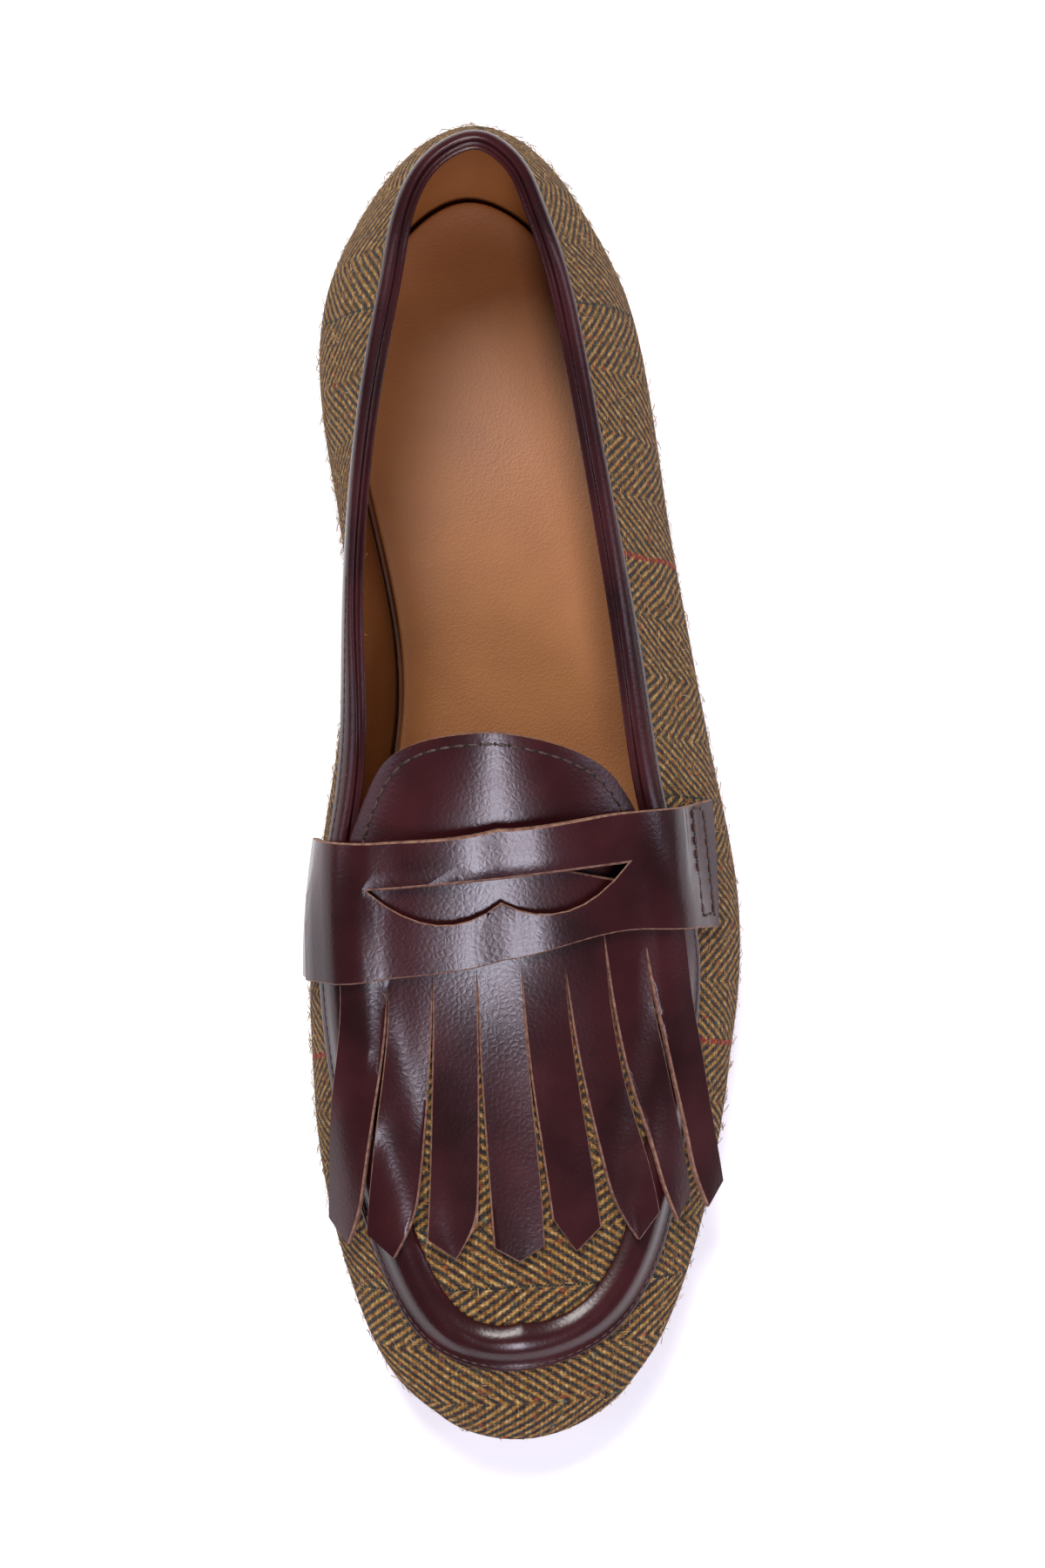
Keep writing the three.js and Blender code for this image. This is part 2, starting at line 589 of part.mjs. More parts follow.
// Apron band: a flat stitched flange and a padded roll round the toe, on the tweed.
function apronFaces() {
  const run = spread(THROAT_ROW, LOOP - THROAT_ROW, 2 * VAMP_STEPS);
  run[0] = rowAtStation(THROAT + GAP);
  run[run.length - 1] = LOOP - run[0];
  const outlineAt = (k) => {
    const seam = collarArc(k);
    const high = rollHeight(k);
    const at = (inwards, lift) => lifted(k, levelAtArc(k, seam - inwards), lift);
    const low = [-flangeWidth(k), 0, ROLL_WIDTH * 0.25, ROLL_WIDTH * 0.5, ROLL_WIDTH * 0.75, ROLL_WIDTH];
    const under = low.map((inwards) => at(inwards, GAP));
    const flange = GAP + FLANGE_THICKNESS;
    const crown = ROLL_PROFILE.map((share) => GAP + high * share);
    const top = [flange, flange, ...crown, GAP + ROLL_INNER_EDGE];
    const over = low.map((inwards, i) => at(inwards, top[i]));
    return [...over, ...under.reverse()];
  };
  return bar(run.map((k) => outlineAt(k)));
}

// Height of the kiltie's underside over the last. It rises to pass over the apron roll.
const KILTIE_HALF = (FRINGE_COUNT / 2) * FRINGE_WIDTH;
function climbOver(k, arc) {
  const rollEdge = collarArc(k) - ROLL_WIDTH;
  return (rollHeight(k) + GAP) * smooth((arc - rollEdge + KILTIE_CLIMB) / KILTIE_CLIMB);
}
function kiltieLift(station, arc) {
  const k = placeOf(rowAtStation(station), arc >= 0);
  return GAP + climbOver(k, Math.abs(arc));
}

// Kiltie: one leather with a plain back and a fringe of strips that ends in arrow tips.
function kiltieFaces() {
  const faces = [];
  const place = (station, arc, extra) => onVamp(station, arc, kiltieLift(station, arc) + extra);
  const columns = FRINGE_COLUMNS * FRINGE_COUNT;
  const across = spread(FRINGE_SHIFT - KILTIE_HALF, FRINGE_SHIFT + KILTIE_HALF, columns);
  const backStations = spread(KILTIE_BACK, FRINGE_ROOT, 3);
  const backGrid = (extra) => backStations.map((s) => across.map((arc) => place(s, arc, extra)));
  const [upper, lower] = [backGrid(LEATHER), backGrid(0)];
  for (let j = 1; j < backStations.length; j++) {
    faces.push(...between(upper[j], upper[j - 1]), ...between(lower[j - 1], lower[j]));
  }
  const edge = (grid, end) => grid.map((row) => row.at(end));
  faces.push(...between(upper[0], lower[0]));
  faces.push(...between(edge(lower, 0), edge(upper, 0)), ...between(edge(upper, -1), edge(lower, -1)));
  for (const strip of FRINGE) faces.push(...stripFaces(strip, place));
  return faces;
}
// One strip of the fringe, from the kiltie's back to its tip.
function stripFaces(strip, place) {
  const reach = (strip.reach / 100) * LENGTH;
  const sides = spread(-0.5, 0.5, FRINGE_COLUMNS);
  const rowAt = (share, extra) => {
    const station = mix(FRINGE_ROOT, reach - FRINGE_POINT, share);
    const centre = mix(strip.root, strip.tip, share ** FRINGE_SPLAY) * FRINGE_WIDTH + FRINGE_SHIFT;
    const width = mix(1, strip.width, share ** FRINGE_SWELL) * FRINGE_WIDTH - FRINGE_SLIT * clamp01(share * 6);
    const raised = Math.abs(strip.tilt) * LEATHER * smooth(share * 2);
    const lift = (side) => extra + raised * (0.5 + Math.sign(strip.tilt) * side);
    return sides.map((side) => place(station, centre + side * width, lift(side)));
  };
  const run = spread(0, 1, 8);
  const upper = run.map((share) => rowAt(share, LEATHER));
  const lower = run.map((share) => rowAt(share, 0));
  const faces = [];
  for (let j = 1; j < run.length; j++) {
    faces.push(...between(upper[j], upper[j - 1]), ...between(lower[j - 1], lower[j]));
  }
  const edge = (grid, end) => grid.map((row) => row.at(end));
  faces.push(...between(edge(lower, 0), edge(upper, 0)), ...between(edge(upper, -1), edge(lower, -1)));
  const middle = strip.tip * FRINGE_WIDTH + FRINGE_SHIFT;
  const tip = (extra) => place(reach, middle, extra + Math.abs(strip.tilt) * LEATHER * 0.5);
  const [tipUpper, tipLower] = [tip(LEATHER), tip(0)];
  const [endUpper, endLower] = [upper.at(-1), lower.at(-1)];
  for (let i = 1; i < endUpper.length; i++) {
    faces.push([endUpper[i], endUpper[i - 1], tipUpper], [endLower[i - 1], endLower[i], tipLower]);
  }
  faces.push([endUpper[0], endLower[0], tipLower, tipUpper]);
  faces.push([endLower.at(-1), endUpper.at(-1), tipUpper, tipLower]);
  return faces;
}

// Strap: a leather across the instep, over the kiltie and the roll, sewn down at both ends.
function strapLift(k, arc) {
  const kiltieEdge = KILTIE_HALF + (k > LAST_ROW ? -FRINGE_SHIFT : FRINGE_SHIFT);
  const wallStart = Math.max(collarArc(k) + FLANGE_WIDTH, kiltieEdge + STRAP_DROP);
  const overTrim = climbOver(k, arc) * (1 - smooth((arc - wallStart) / STRAP_LANDING));
  const overKiltie = (LEATHER + STRAP_CLEARANCE) * (1 - smooth((arc - kiltieEdge - GAP) / STRAP_DROP));
  return GAP + overTrim + overKiltie;
}
function strapFaces() {
  const columns = spread(-1, 1, 36);
  const rows = spread(-0.5, 0.5, 5);
  const line = new THREE.SplineCurve(STRAP_BACKSET.map((back, i) => new THREE.Vector2(i, back)));
  const seamAt = (outer) => collarArc(placeOf(rowAtStation(STRAP_MIDDLE), outer));
  const grid = (extra) =>
    rows.map((up) =>
      columns.map((share) => {
        const outer = share >= 0;
        const station = STRAP_MIDDLE + STRAP_WIDTH * (up - line.getPoint((share + 1) / 2).y);
        const reach = seamAt(outer) + (outer ? STRAP_END_OUTER - STRAP_END_TURN * up : STRAP_END_INNER);
        const k = placeOf(rowAtStation(station), outer);
        const arc = Math.abs(share) * reach;
        return lifted(k, levelAtArc(k, arc), strapLift(k, arc) + extra);
      }),
    );
  return sheet(grid(STRAP_LEATHER).reverse(), grid(0).reverse());
}
function slotShape() {
  const half = SLOT_LENGTH / 2;
  const shape = new THREE.Shape();
  shape.moveTo(-half, 0);
  shape.quadraticCurveTo(-half * 0.5, -2 * SLOT_LOBE + SLOT_CUSP / 2, 0, -SLOT_CUSP);
  shape.quadraticCurveTo(half * 0.5, -2 * SLOT_LOBE + SLOT_CUSP / 2, half, 0);
  shape.quadraticCurveTo(0, -SLOT_BOW, -half, 0);
  return shape;
}
function solidOf(geometry) {
  const plain = geometry.index ? geometry.clone() : mergeVertices(geometry);
  plain.deleteAttribute("normal");
  plain.deleteAttribute("uv");
  const merged = mergeVertices(plain, 1e-4);
  const vertProperties = merged.attributes.position.array;
  return new wasm.Manifold(new wasm.Mesh({ numProp: 3, vertProperties, triVerts: merged.index.array }));
}
function geometryFrom(solid) {
  const mesh = solid.getMesh();
  const geometry = new THREE.BufferGeometry();
  geometry.setAttribute("position", new THREE.BufferAttribute(mesh.vertProperties, mesh.numProp));
  geometry.setIndex(new THREE.BufferAttribute(mesh.triVerts, 1));
  return geometry;
}
function strapGeometry() {
  const height = 2 * INSTEP_RISE;
  const cutter = new THREE.ExtrudeGeometry(slotShape(), { depth: height, bevelEnabled: false, curveSegments: 8 });
  cutter.rotateZ(THREE.MathUtils.degToRad(-SLOT_TURN));
  cutter.translate(column.ridgeAcross(THROAT_ROW).value, toY(SLOT_BACK), 0);
  return geometryFrom(solidOf(geometryOf(strapFaces())).subtract(solidOf(cutter)));
}

add("outsole", outsoleFaces(), soleLeather);
add("heel_stack", heelFaces(TOP_PIECE_THICKNESS + GAP, HEEL_HEIGHT - GAP), heelLeather);
add("heel_top_piece", heelFaces(0, TOP_PIECE_THICKNESS), heelRubber);
add("insole", insoleFaces(), tanLeather);
add("upper", upperFaces(), tweed);
add("tongue", tongueFaces(), burgundyLeather);
add("collar_binding", bindingFaces(), burgundyLeather);
add("apron_band", apronFaces(), burgundyLeather);
add("kiltie", kiltieFaces(), burgundyLeather);
add("strap", strapGeometry(), burgundyLeather);

// The origin is on the floor, under the middle of the shoe.
const box = new THREE.Box3().setFromObject(shoe);
shoe.position.set(-(box.min.x + box.max.x) / 2, -(box.min.y + box.max.y) / 2, 0);

export default shoe;
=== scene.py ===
import json
import math
import random

import bmesh
import bpy
from mathutils import Matrix, Vector
from mathutils.bvhtree import BVHTree
from mathutils.kdtree import KDTree

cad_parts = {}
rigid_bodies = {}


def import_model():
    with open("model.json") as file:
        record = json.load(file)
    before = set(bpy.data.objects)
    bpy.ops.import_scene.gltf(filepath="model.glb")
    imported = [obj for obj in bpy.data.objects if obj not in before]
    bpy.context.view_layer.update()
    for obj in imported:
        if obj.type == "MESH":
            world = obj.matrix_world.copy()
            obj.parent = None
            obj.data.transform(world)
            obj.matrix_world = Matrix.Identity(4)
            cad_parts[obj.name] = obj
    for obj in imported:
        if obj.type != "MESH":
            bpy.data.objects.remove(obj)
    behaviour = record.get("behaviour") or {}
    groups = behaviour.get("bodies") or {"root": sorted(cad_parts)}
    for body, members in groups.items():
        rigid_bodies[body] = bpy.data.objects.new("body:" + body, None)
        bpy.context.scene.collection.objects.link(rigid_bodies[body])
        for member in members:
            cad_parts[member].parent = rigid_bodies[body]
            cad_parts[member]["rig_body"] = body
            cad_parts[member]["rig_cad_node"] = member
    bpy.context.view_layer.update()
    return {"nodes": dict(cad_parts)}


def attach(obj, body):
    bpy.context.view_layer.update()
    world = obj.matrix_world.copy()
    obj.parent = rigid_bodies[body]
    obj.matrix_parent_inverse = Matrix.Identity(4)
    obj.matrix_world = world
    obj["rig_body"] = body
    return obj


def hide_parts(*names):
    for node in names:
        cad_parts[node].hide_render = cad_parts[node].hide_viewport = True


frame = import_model()

MM = 0.001

# Camera. It stands where the photographer stood, above the toe and to the inner side of this left shoe, and
# is aimed at the middle of the one shoe. The long lens fills the upright frame with it.
CAMERA_PLACE = (-0.0452, -0.0876, 0.7059)
CAMERA_TARGET = (0.0, -0.002, 0.034)
CAMERA_LENS = 80
SENSOR = 36
NEAREST_SEEN = 0.01
SHOE_TURN = math.radians(2.49)
camera_data = bpy.data.cameras.new("camera")
camera_data.lens = CAMERA_LENS
camera_data.sensor_fit = "VERTICAL"
camera_data.sensor_height = SENSOR
camera_data.sensor_width = SENSOR
camera_data.clip_start = NEAREST_SEEN
camera = bpy.data.objects.new("camera", camera_data)
bpy.context.scene.collection.objects.link(camera)
back = (Vector(CAMERA_PLACE) - Vector(CAMERA_TARGET)).normalized()
upwards = Vector((math.sin(SHOE_TURN), math.cos(SHOE_TURN), 0))
right = upwards.cross(back).normalized()
camera_turn = Matrix((right, back.cross(right), back)).transposed().to_4x4()
camera.matrix_world = Matrix.Translation(CAMERA_PLACE) @ camera_turn
bpy.context.scene.camera = camera
bpy.context.scene.view_settings.view_transform = "Standard"


def colour(hex_code):
    """A linear RGBA colour from an sRGB hex value."""
    parts = [int(hex_code[i:i + 2], 16) / 255 for i in (1, 3, 5)]
    linear = [p / 12.92 if p <= 0.04045 else ((p + 0.055) / 1.055) ** 2.4 for p in parts]
    return (*linear, 1)


def new_material(name):
    """An empty material with a Principled shader, and its tree and shader."""
    made = bpy.data.materials.new(name)
    made.use_nodes = True
    tree = made.node_tree
    return made, tree, tree.nodes["Principled BSDF"]


def node(tree, kind, settings=(), **links):
    """Adds a node. Settings are pairs of a property and its value. A link's name is the input's, with _ for
    a space, or in_0 for the first input. Its value is a socket to link or a plain value."""
    made = tree.nodes.new("ShaderNode" + kind)
    for key, value in settings:
        setattr(made, key, value)
    for key, value in links.items():
        place = int(key[3:]) if key.startswith("in_") else key.replace("_", " ")
        socket = made.inputs[place]
        if isinstance(value, bpy.types.NodeSocket):
            tree.links.new(value, socket)
        else:
            socket.default_value = value
    return made


def ramp(tree, value, *stops):
    """A colour ramp's output. The stops are pairs of a place and a hex colour, from low to high."""
    made = node(tree, "ValToRGB", Fac=value)
    elements = made.color_ramp.elements
    while len(elements) < len(stops):
        elements.new(1.0)
    for element, (place, tint) in zip(elements, stops):
        element.position = place
        element.color = colour(tint)
    return made.outputs["Color"]


def maths(tree, operation, first, second=0.0, third=0.0):
    made = node(tree, "Math", [("operation", operation)], in_0=first, in_1=second, in_2=third)
    return made.outputs["Value"]


def blend_colours(tree, share, low, high):
    return node(tree, "Mix", [("data_type", "RGBA")], in_0=share, in_6=low, in_7=high).outputs[2]


# Floor and light. White paper that glows a little, as if backlit, so that only a faint shadow is left. A narrow
# soft box over the toe gives the bright band along the shoe's middle, a box behind the heel lights the whole,
# and a small one on each side gives the softer bands.
FLOOR_SIZE = 8.0
FLOOR_GLOW = 0.24
PULP = 16.7 * MM
bpy.ops.object.select_all(action="DESELECT")
bpy.ops.mesh.primitive_plane_add(size=FLOOR_SIZE, location=(0, 0, 0))
floor = bpy.context.object
floor.name = "paper_floor"
paper, tree, shader = new_material("backlit_white_paper")
shader.inputs["Roughness"].default_value = 0.9
shader.inputs["Specular IOR Level"].default_value = 0.1
spot = node(tree, "TexCoord")
pulp = node(tree, "TexNoise", Vector=spot.outputs["Object"], Scale=1 / PULP, Detail=3.0)
whites = ramp(tree, pulp.outputs["Fac"], (0, "#f3f2f3"), (1, "#f8f7f8"))
tree.links.new(whites, shader.inputs["Base Color"])
shader.inputs["Emission Color"].default_value = colour("#fbfbff")
shader.inputs["Emission Strength"].default_value = FLOOR_GLOW
floor.data.materials.append(paper)

# Each box: its place, what it is aimed at, its width and height in metres, its power in watts and its colour.
ROOM_LIGHT = 0.16
LIGHTS = {
    "toe_box": ((0.12, -1.1, 1.15), (0, -0.02, 0.03), 0.16, 0.8, 18, "#f0ecff"),
    "overhead_box": ((-0.25, 0.75, 1.4), (0, 0, 0.03), 0.5, 0.7, 28, "#fffdfa"),
    "outer_box": ((1.3, -0.1, 0.9), (0, 0, 0.03), 0.2, 0.9, 3.5, "#ece8ff"),
    "inner_box": ((-1.3, -0.1, 0.9), (0, 0, 0.03), 0.2, 0.9, 2.5, "#ece8ff"),
}
for name, (place, target, width, height, power, tint) in LIGHTS.items():
    light_data = bpy.data.lights.new(name, "AREA")
    light_data.shape = "RECTANGLE"
    light_data.size = width
    light_data.size_y = height
    light_data.energy = power
    light_data.color = colour(tint)[:3]
    light = bpy.data.objects.new(name, light_data)
    bpy.context.scene.collection.objects.link(light)
    light.location = place
    light.rotation_euler = (Vector(place) - Vector(target)).to_track_quat("Z", "Y").to_euler()
world = bpy.data.worlds.new("dim_room")
world.use_nodes = True
world.node_tree.nodes["Background"].inputs["Color"].default_value = colour("#e9e9f2")
world.node_tree.nodes["Background"].inputs["Strength"].default_value = ROOM_LIGHT
bpy.context.scene.world = world


# Upper. Wool herringbone tweed over a leather lining, lasted from one vamp and two quarters. It is the packed
# wall with its loose triangles joined and its corners rounded by subdivision.
WELD = 0.02 * MM
def only(piece):
    """Selects this object alone."""
    bpy.ops.object.select_all(action="DESELECT")
    piece.select_set(True)
    bpy.context.view_layer.objects.active = piece


def solid_copy(cad_name, name):
    """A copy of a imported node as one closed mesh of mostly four-sided faces."""
    piece = frame["nodes"][cad_name].copy()
    piece.data = piece.data.copy()
    piece.name = name
    piece.data.name = name
    piece.parent = None
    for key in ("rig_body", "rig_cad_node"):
        del piece[key]
    piece.data.materials.clear()
    bpy.context.scene.collection.objects.link(piece)
    only(piece)
    bpy.ops.mesh.customdata_custom_splitnormals_clear()
    bpy.ops.object.mode_set(mode="EDIT")
    bpy.ops.mesh.select_all(action="SELECT")
    bpy.ops.mesh.remove_doubles(threshold=WELD)
    bpy.ops.mesh.tris_convert_to_quads(face_threshold=math.radians(60), shape_threshold=math.radians(80))
    bpy.ops.object.mode_set(mode="OBJECT")
    return piece


def crease(piece, sharper_than, amount):
    """Keeps the edges sharper than an angle, in degrees, nearly crisp under subdivision."""
    only(piece)
    bpy.ops.object.mode_set(mode="EDIT")
    bpy.ops.mesh.select_mode(type="EDGE")
    bpy.ops.mesh.select_all(action="DESELECT")
    bpy.ops.mesh.edges_select_sharp(sharpness=math.radians(sharper_than))
    bpy.ops.transform.edge_crease(value=amount)
    bpy.ops.object.mode_set(mode="OBJECT")


def apply_modifier(piece, kind, **settings):
    """Adds a modifier and applies it."""
    only(piece)
    modifier = piece.modifiers.new(kind.lower(), kind)
    for key, value in settings.items():
        setattr(modifier, key, value)
    bpy.ops.object.modifier_apply(modifier=modifier.name)


def subdivide(piece, levels):
    apply_modifier(piece, "SUBSURF", levels=levels, render_levels=levels)


def paint(piece, materials, choose):
    """Gives each face the material whose number choose(face) returns."""
    for material in materials:
        piece.data.materials.append(material)
    for face in piece.data.polygons:
        face.material_index = choose(face)


def surface_of(piece):
    """A search tree of a piece's surface, as it is now."""
    shape = bmesh.new()
    shape.from_mesh(piece.data)
    found = BVHTree.FromBMesh(shape)
    shape.free()
    return found


def smooth_step(value):
    value = min(1, max(0, value))
    return value * value * (3 - 2 * value)


def put_in_place(piece, cad_name):
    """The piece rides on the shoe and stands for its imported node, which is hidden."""
    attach(piece, "root")
    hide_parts(cad_name)


ABOVE = 0.3
DOWN = Vector((0, 0, -1))
AXIS_X = -4.8 * MM
HEEL_CENTRE = Vector((AXIS_X, 85 * MM, 0))
TOE_CENTRE = Vector((AXIS_X, -78 * MM, 0))
FURTHEST = 60 * MM
SPOKE_STEP = 0.2 * MM


def onto(surface, x, y):
    """The point and normal of a surface under a place in plan."""
    point, normal, _, _ = surface.ray_cast(Vector((x, y, ABOVE)), DOWN)
    return point, normal


def edge_points(surface, spokes, inset):
    """Points on a surface, an inset in from its outer edge, as seen from above. A spoke is a centre and a level
    direction outwards from it."""
    found = []
    for centre, out in spokes:
        for step in reversed(range(int(FURTHEST / SPOKE_STEP))):
            spot = centre + out * step * SPOKE_STEP
            if onto(surface, spot.x, spot.y)[0] is not None:
                spot = spot - out * inset
                point, normal = onto(surface, spot.x, spot.y)
                if point is not None:
                    found.append((point, normal))
                break
    return found


HEEL_SHARE = 0.2
TOE_SHARE = 0.8


def round_shoe(start, end, count):
    """Spokes round the shoe. Place 0 is the back of the heel, 1 the toe by the outer side, -1 by the inner
    side. They turn about the heel's and the toe's centre, and are level and parallel in between."""
    spokes = []
    for i in range(count + 1):
        place = start + (end - start) * i / count
        side = 1 if place >= 0 else -1
        share = abs(place)
        if share < HEEL_SHARE:
            angle = share / HEEL_SHARE * math.pi / 2
            spokes.append((HEEL_CENTRE, Vector((side * math.sin(angle), math.cos(angle), 0))))
        elif share > TOE_SHARE:
            angle = (share - TOE_SHARE) / (1 - TOE_SHARE) * math.pi / 2
            spokes.append((TOE_CENTRE, Vector((side * math.cos(angle), -math.sin(angle), 0))))
        else:
            centre = HEEL_CENTRE.lerp(TOE_CENTRE, (share - HEEL_SHARE) / (TOE_SHARE - HEEL_SHARE))
            spokes.append((centre, Vector((side, 0, 0))))
    return spokes


upper = solid_copy("upper", "tweed_upper")
crease(upper, 50, 0.75)
subdivide(upper, 2)

# The main creases, placed as soft troughs, and ridges where the depth has a minus: a start and an end
# near the wall, how far each reaches to its sides, and its depth, in mm. The last one is the seam up the back.
CREASE_FADE = 0.4
CREASES = (
    ((34, 4, 36), (31, 40, 52), 6, 0.7),
    ((36, 10, 27), (35, 46, 33), 7, -0.5),
    ((-40, 0, 33), (-35, 36, 50), 6, 0.7),
    ((-40, 12, 25), (-38, 48, 33), 7, -0.5),
    ((40, -34, 22), (43, -58, 16), 5, 0.5),
    ((-41, -36, 22), (-43, -60, 16), 5, 0.5),
    ((22, 100, 40), (26, 70, 52), 7, 0.5),
    ((-31, 100, 40), (-34, 72, 50), 7, 0.5),
    ((-4.8, 129, 12), (-4.8, 120, 66), 2.6, 0.6),
)


def press_creases(piece, creases):
    """Moves the outer side's points in by each crease's depth, less and less towards its sides and ends."""
    surface = surface_of(piece)
    outer = []
    for vertex in piece.data.vertices:
        middle_y = min(HEEL_CENTRE.y, max(TOE_CENTRE.y, vertex.co.y))
        inwards = Vector((AXIS_X, middle_y, vertex.co.z)) - vertex.co
        if vertex.normal.dot(inwards) < 0:
            outer.append((vertex, vertex.co.copy(), vertex.normal.copy()))
    for start, end, reach, depth in creases:
        start = surface.find_nearest(Vector(start) * MM)[0]
        end = surface.find_nearest(Vector(end) * MM)[0]
        line = end - start
        for vertex, rest, normal in outer:
            share = min(1, max(0, (rest - start).dot(line) / line.length_squared))
            away = (rest - start - line * share).length / (reach * MM)
            fading = CREASE_FADE + (1 - CREASE_FADE) * math.sin(math.pi * share)
            vertex.co -= normal * depth * MM * fading * smooth_step(1 - away)


press_creases(upper, CREASES)

# The cloth's own map, in units of 100 mm: across the shoe and along it, as if the wall under the collar and the
# apron seam were folded out flat. Round the heel it follows the collar.
CLOTH_UNIT = 0.1
HEEL_TURN_Y = HEEL_CENTRE.y
HEEL_EASING = 25 * MM
TOE_TURN_Y = -70 * MM
TOE_EASING = 30 * MM
TIP_TURN_Y = -90 * MM
TIP_EASING = 50 * MM
THROAT_Y = -22 * MM
SEAM_INSET = 0.4 * MM
SEAM_STEPS = 270
SEAM_ROUNDS = 12
PAST_TOE = 1.06
collar_surface = surface_of(frame["nodes"]["collar_binding"])
apron_surface = surface_of(frame["nodes"]["apron_band"])


def half_seam(side):
    """The line of the collar and the apron seam on one side from the heel to the toe, smoothed, with its map
    coordinates."""
    spokes = round_shoe(0, PAST_TOE * side, SEAM_STEPS)
    line = [p for p, _ in edge_points(collar_surface, spokes, SEAM_INSET) if p.y > THROAT_Y]
    line += [p for p, _ in edge_points(apron_surface, spokes, SEAM_INSET) if p.y <= THROAT_Y]
    for _ in range(SEAM_ROUNDS):
        inside = [(a + 2 * b + c) / 4 for a, b, c in zip(line, line[1:], line[2:])]
        line = [line[0], *inside, line[-1]]
    turn = min(range(len(line)), key=lambda i: abs(line[i].y - HEEL_TURN_Y) + (line[i].y < THROAT_Y))
    stations = []
    arc = 0
    for i in range(turn, -1, -1):
        stations.append((abs(line[turn].x), HEEL_TURN_Y + arc))
        arc += (line[max(i - 1, 0)] - line[i]).xy.length
    stations.reverse()
    stations += [(p.x * side, p.y) for p in line[turn + 1:]]
    return line, stations


def cloth_mapper(side):
    """A function that gives the place of a point of this side's wall on the flat cloth, in metres."""
    line, stations = half_seam(side)
    search = KDTree(len(line))
    for i, point in enumerate(line):
        search.insert((point.x, point.y, 0), i)
    search.balance()
    by_length = KDTree(len(line))
    for i, point in enumerate(line):
        by_length.insert((0, point.y, 0), i)
    by_length.balance()

    def straight_across(point):
        """The place as if folded out straight sideways, which holds along the shoe's sides."""
        _, i, _ = by_length.find((0, point.y, 0))
        seam = line[i]
        if side * (point.x - seam.x) <= 0:
            return point.x, point.y
        return side * (side * seam.x + math.hypot(point.x - seam.x, point.z - seam.z)), point.y

    def round_corner(point):
        """The place as if folded out from the nearest point of the seam, which holds at the toe and heel."""
        _, i, _ = search.find((point.x, point.y, 0))
        i = min(max(i, 1), len(line) - 2)
        chord = (line[i + 1] - line[i - 1]).xy
        share = max(-0.5, min(0.5, (point - line[i]).xy.dot(chord) / chord.length_squared))
        nearest = line[i] + (line[i + 1] - line[i - 1]) * share
        out = Vector((chord.y, -chord.x)) * -side
        out.normalize()
        beyond = (point.xy - nearest.xy).dot(out)
        if beyond <= 0:
            return point.x, nearest.y if nearest.y > THROAT_Y else point.y
        distance = (point - nearest).length
        width = stations[i][0] + (stations[i + 1][0] - stations[i - 1][0]) * share
        along = stations[i][1] + (stations[i + 1][1] - stations[i - 1][1]) * share
        sideways = smooth_step((nearest.y - TIP_TURN_Y) / TIP_EASING)
        level = out.lerp(Vector((side, 0)), sideways).normalized()
        if nearest.y > HEEL_TURN_Y:
            level = Vector((side, 0))
        return side * width + level.x * distance, along + level.y * distance

    def place(point):
        share = smooth_step((point.y - TOE_TURN_Y) / TOE_EASING)
        share *= smooth_step((HEEL_TURN_Y - point.y) / HEEL_EASING)
        if share == 0:
            return round_corner(point)
        across, along = straight_across(point)
        if share == 1:
            return across, along
        across_round, along_round = round_corner(point)
        return across_round + (across - across_round) * share, along_round + (along - along_round) * share

    return place


mappers = {side: cloth_mapper(side) for side in (1, -1)}
cloth = upper.data.uv_layers.new(name="cloth")
flat_places = []
for vertex in upper.data.vertices:
    side = 1 if vertex.co.x >= AXIS_X else -1
    flat_places.append(mappers[side](vertex.co))
for loop in upper.data.loops:
    across, along = flat_places[loop.vertex_index]
    cloth.data[loop.index].uv = (across / CLOTH_UNIT, along / CLOTH_UNIT)

# Wool tweed, a 2/2 herringbone of thick mustard-brown weft over charcoal warp, woven from woollen yarn and left
# unpressed: no gloss, soft fibre edges, flecks of rust and green. Real scale: the slant turns every 11.6 mm
# along the shoe, the ridges of the twill are 1.6 mm apart, and a yarn is about 0.8 mm thick.
ZONE = 11.6 * MM / CLOTH_UNIT
RIDGE_ALONG = 1.9 * MM / CLOTH_UNIT
RIDGE_ACROSS = 2.8 * MM / CLOTH_UNIT
WEFT_YARN = 0.8 * MM / CLOTH_UNIT
WARP_YARN = 0.5 * MM / CLOTH_UNIT
ZONE_START = 40.55
FIBRE = 0.588 * MM / CLOTH_UNIT
YARN_SHADE = 1.333 * MM / CLOTH_UNIT
FLECK = 1.82 * MM / CLOTH_UNIT
DRIFT = 11.1 * MM / CLOTH_UNIT
DRIFT_WIDTH = 1.2 * MM / CLOTH_UNIT
WEAVE_RELIEF = 0.5 * MM
CHECK_REPEAT = 8
tweed, tree, shader = new_material("wool_herringbone_tweed")
uv = node(tree, "UVMap", [("uv_map", "cloth")]).outputs["UV"]
drift = node(tree, "TexNoise", Vector=uv, Scale=1 / DRIFT, Detail=1.0).outputs["Color"]
centred = node(tree, "VectorMath", [("operation", "SUBTRACT")], in_0=drift, in_1=(0.5, 0.5, 0.5))
drift = node(tree, "VectorMath", [("operation", "SCALE")], in_0=centred.outputs["Vector"], Scale=DRIFT_WIDTH)
drifted = node(tree, "VectorMath", [("operation", "ADD")], in_0=uv, in_1=drift.outputs["Vector"])
loose = drifted.outputs["Vector"]
flat = node(tree, "SeparateXYZ", Vector=loose)
zone = maths(tree, "MULTIPLY_ADD", flat.outputs["Y"], 1 / ZONE, ZONE_START)
slant = maths(tree, "MULTIPLY", maths(tree, "PINGPONG", zone, 1.0), ZONE / RIDGE_ALONG)
phase = maths(tree, "MULTIPLY_ADD", flat.outputs["X"], 1 / RIDGE_ACROSS, slant)
ridge = maths(tree, "SINE", maths(tree, "MULTIPLY", phase, 2 * math.pi))
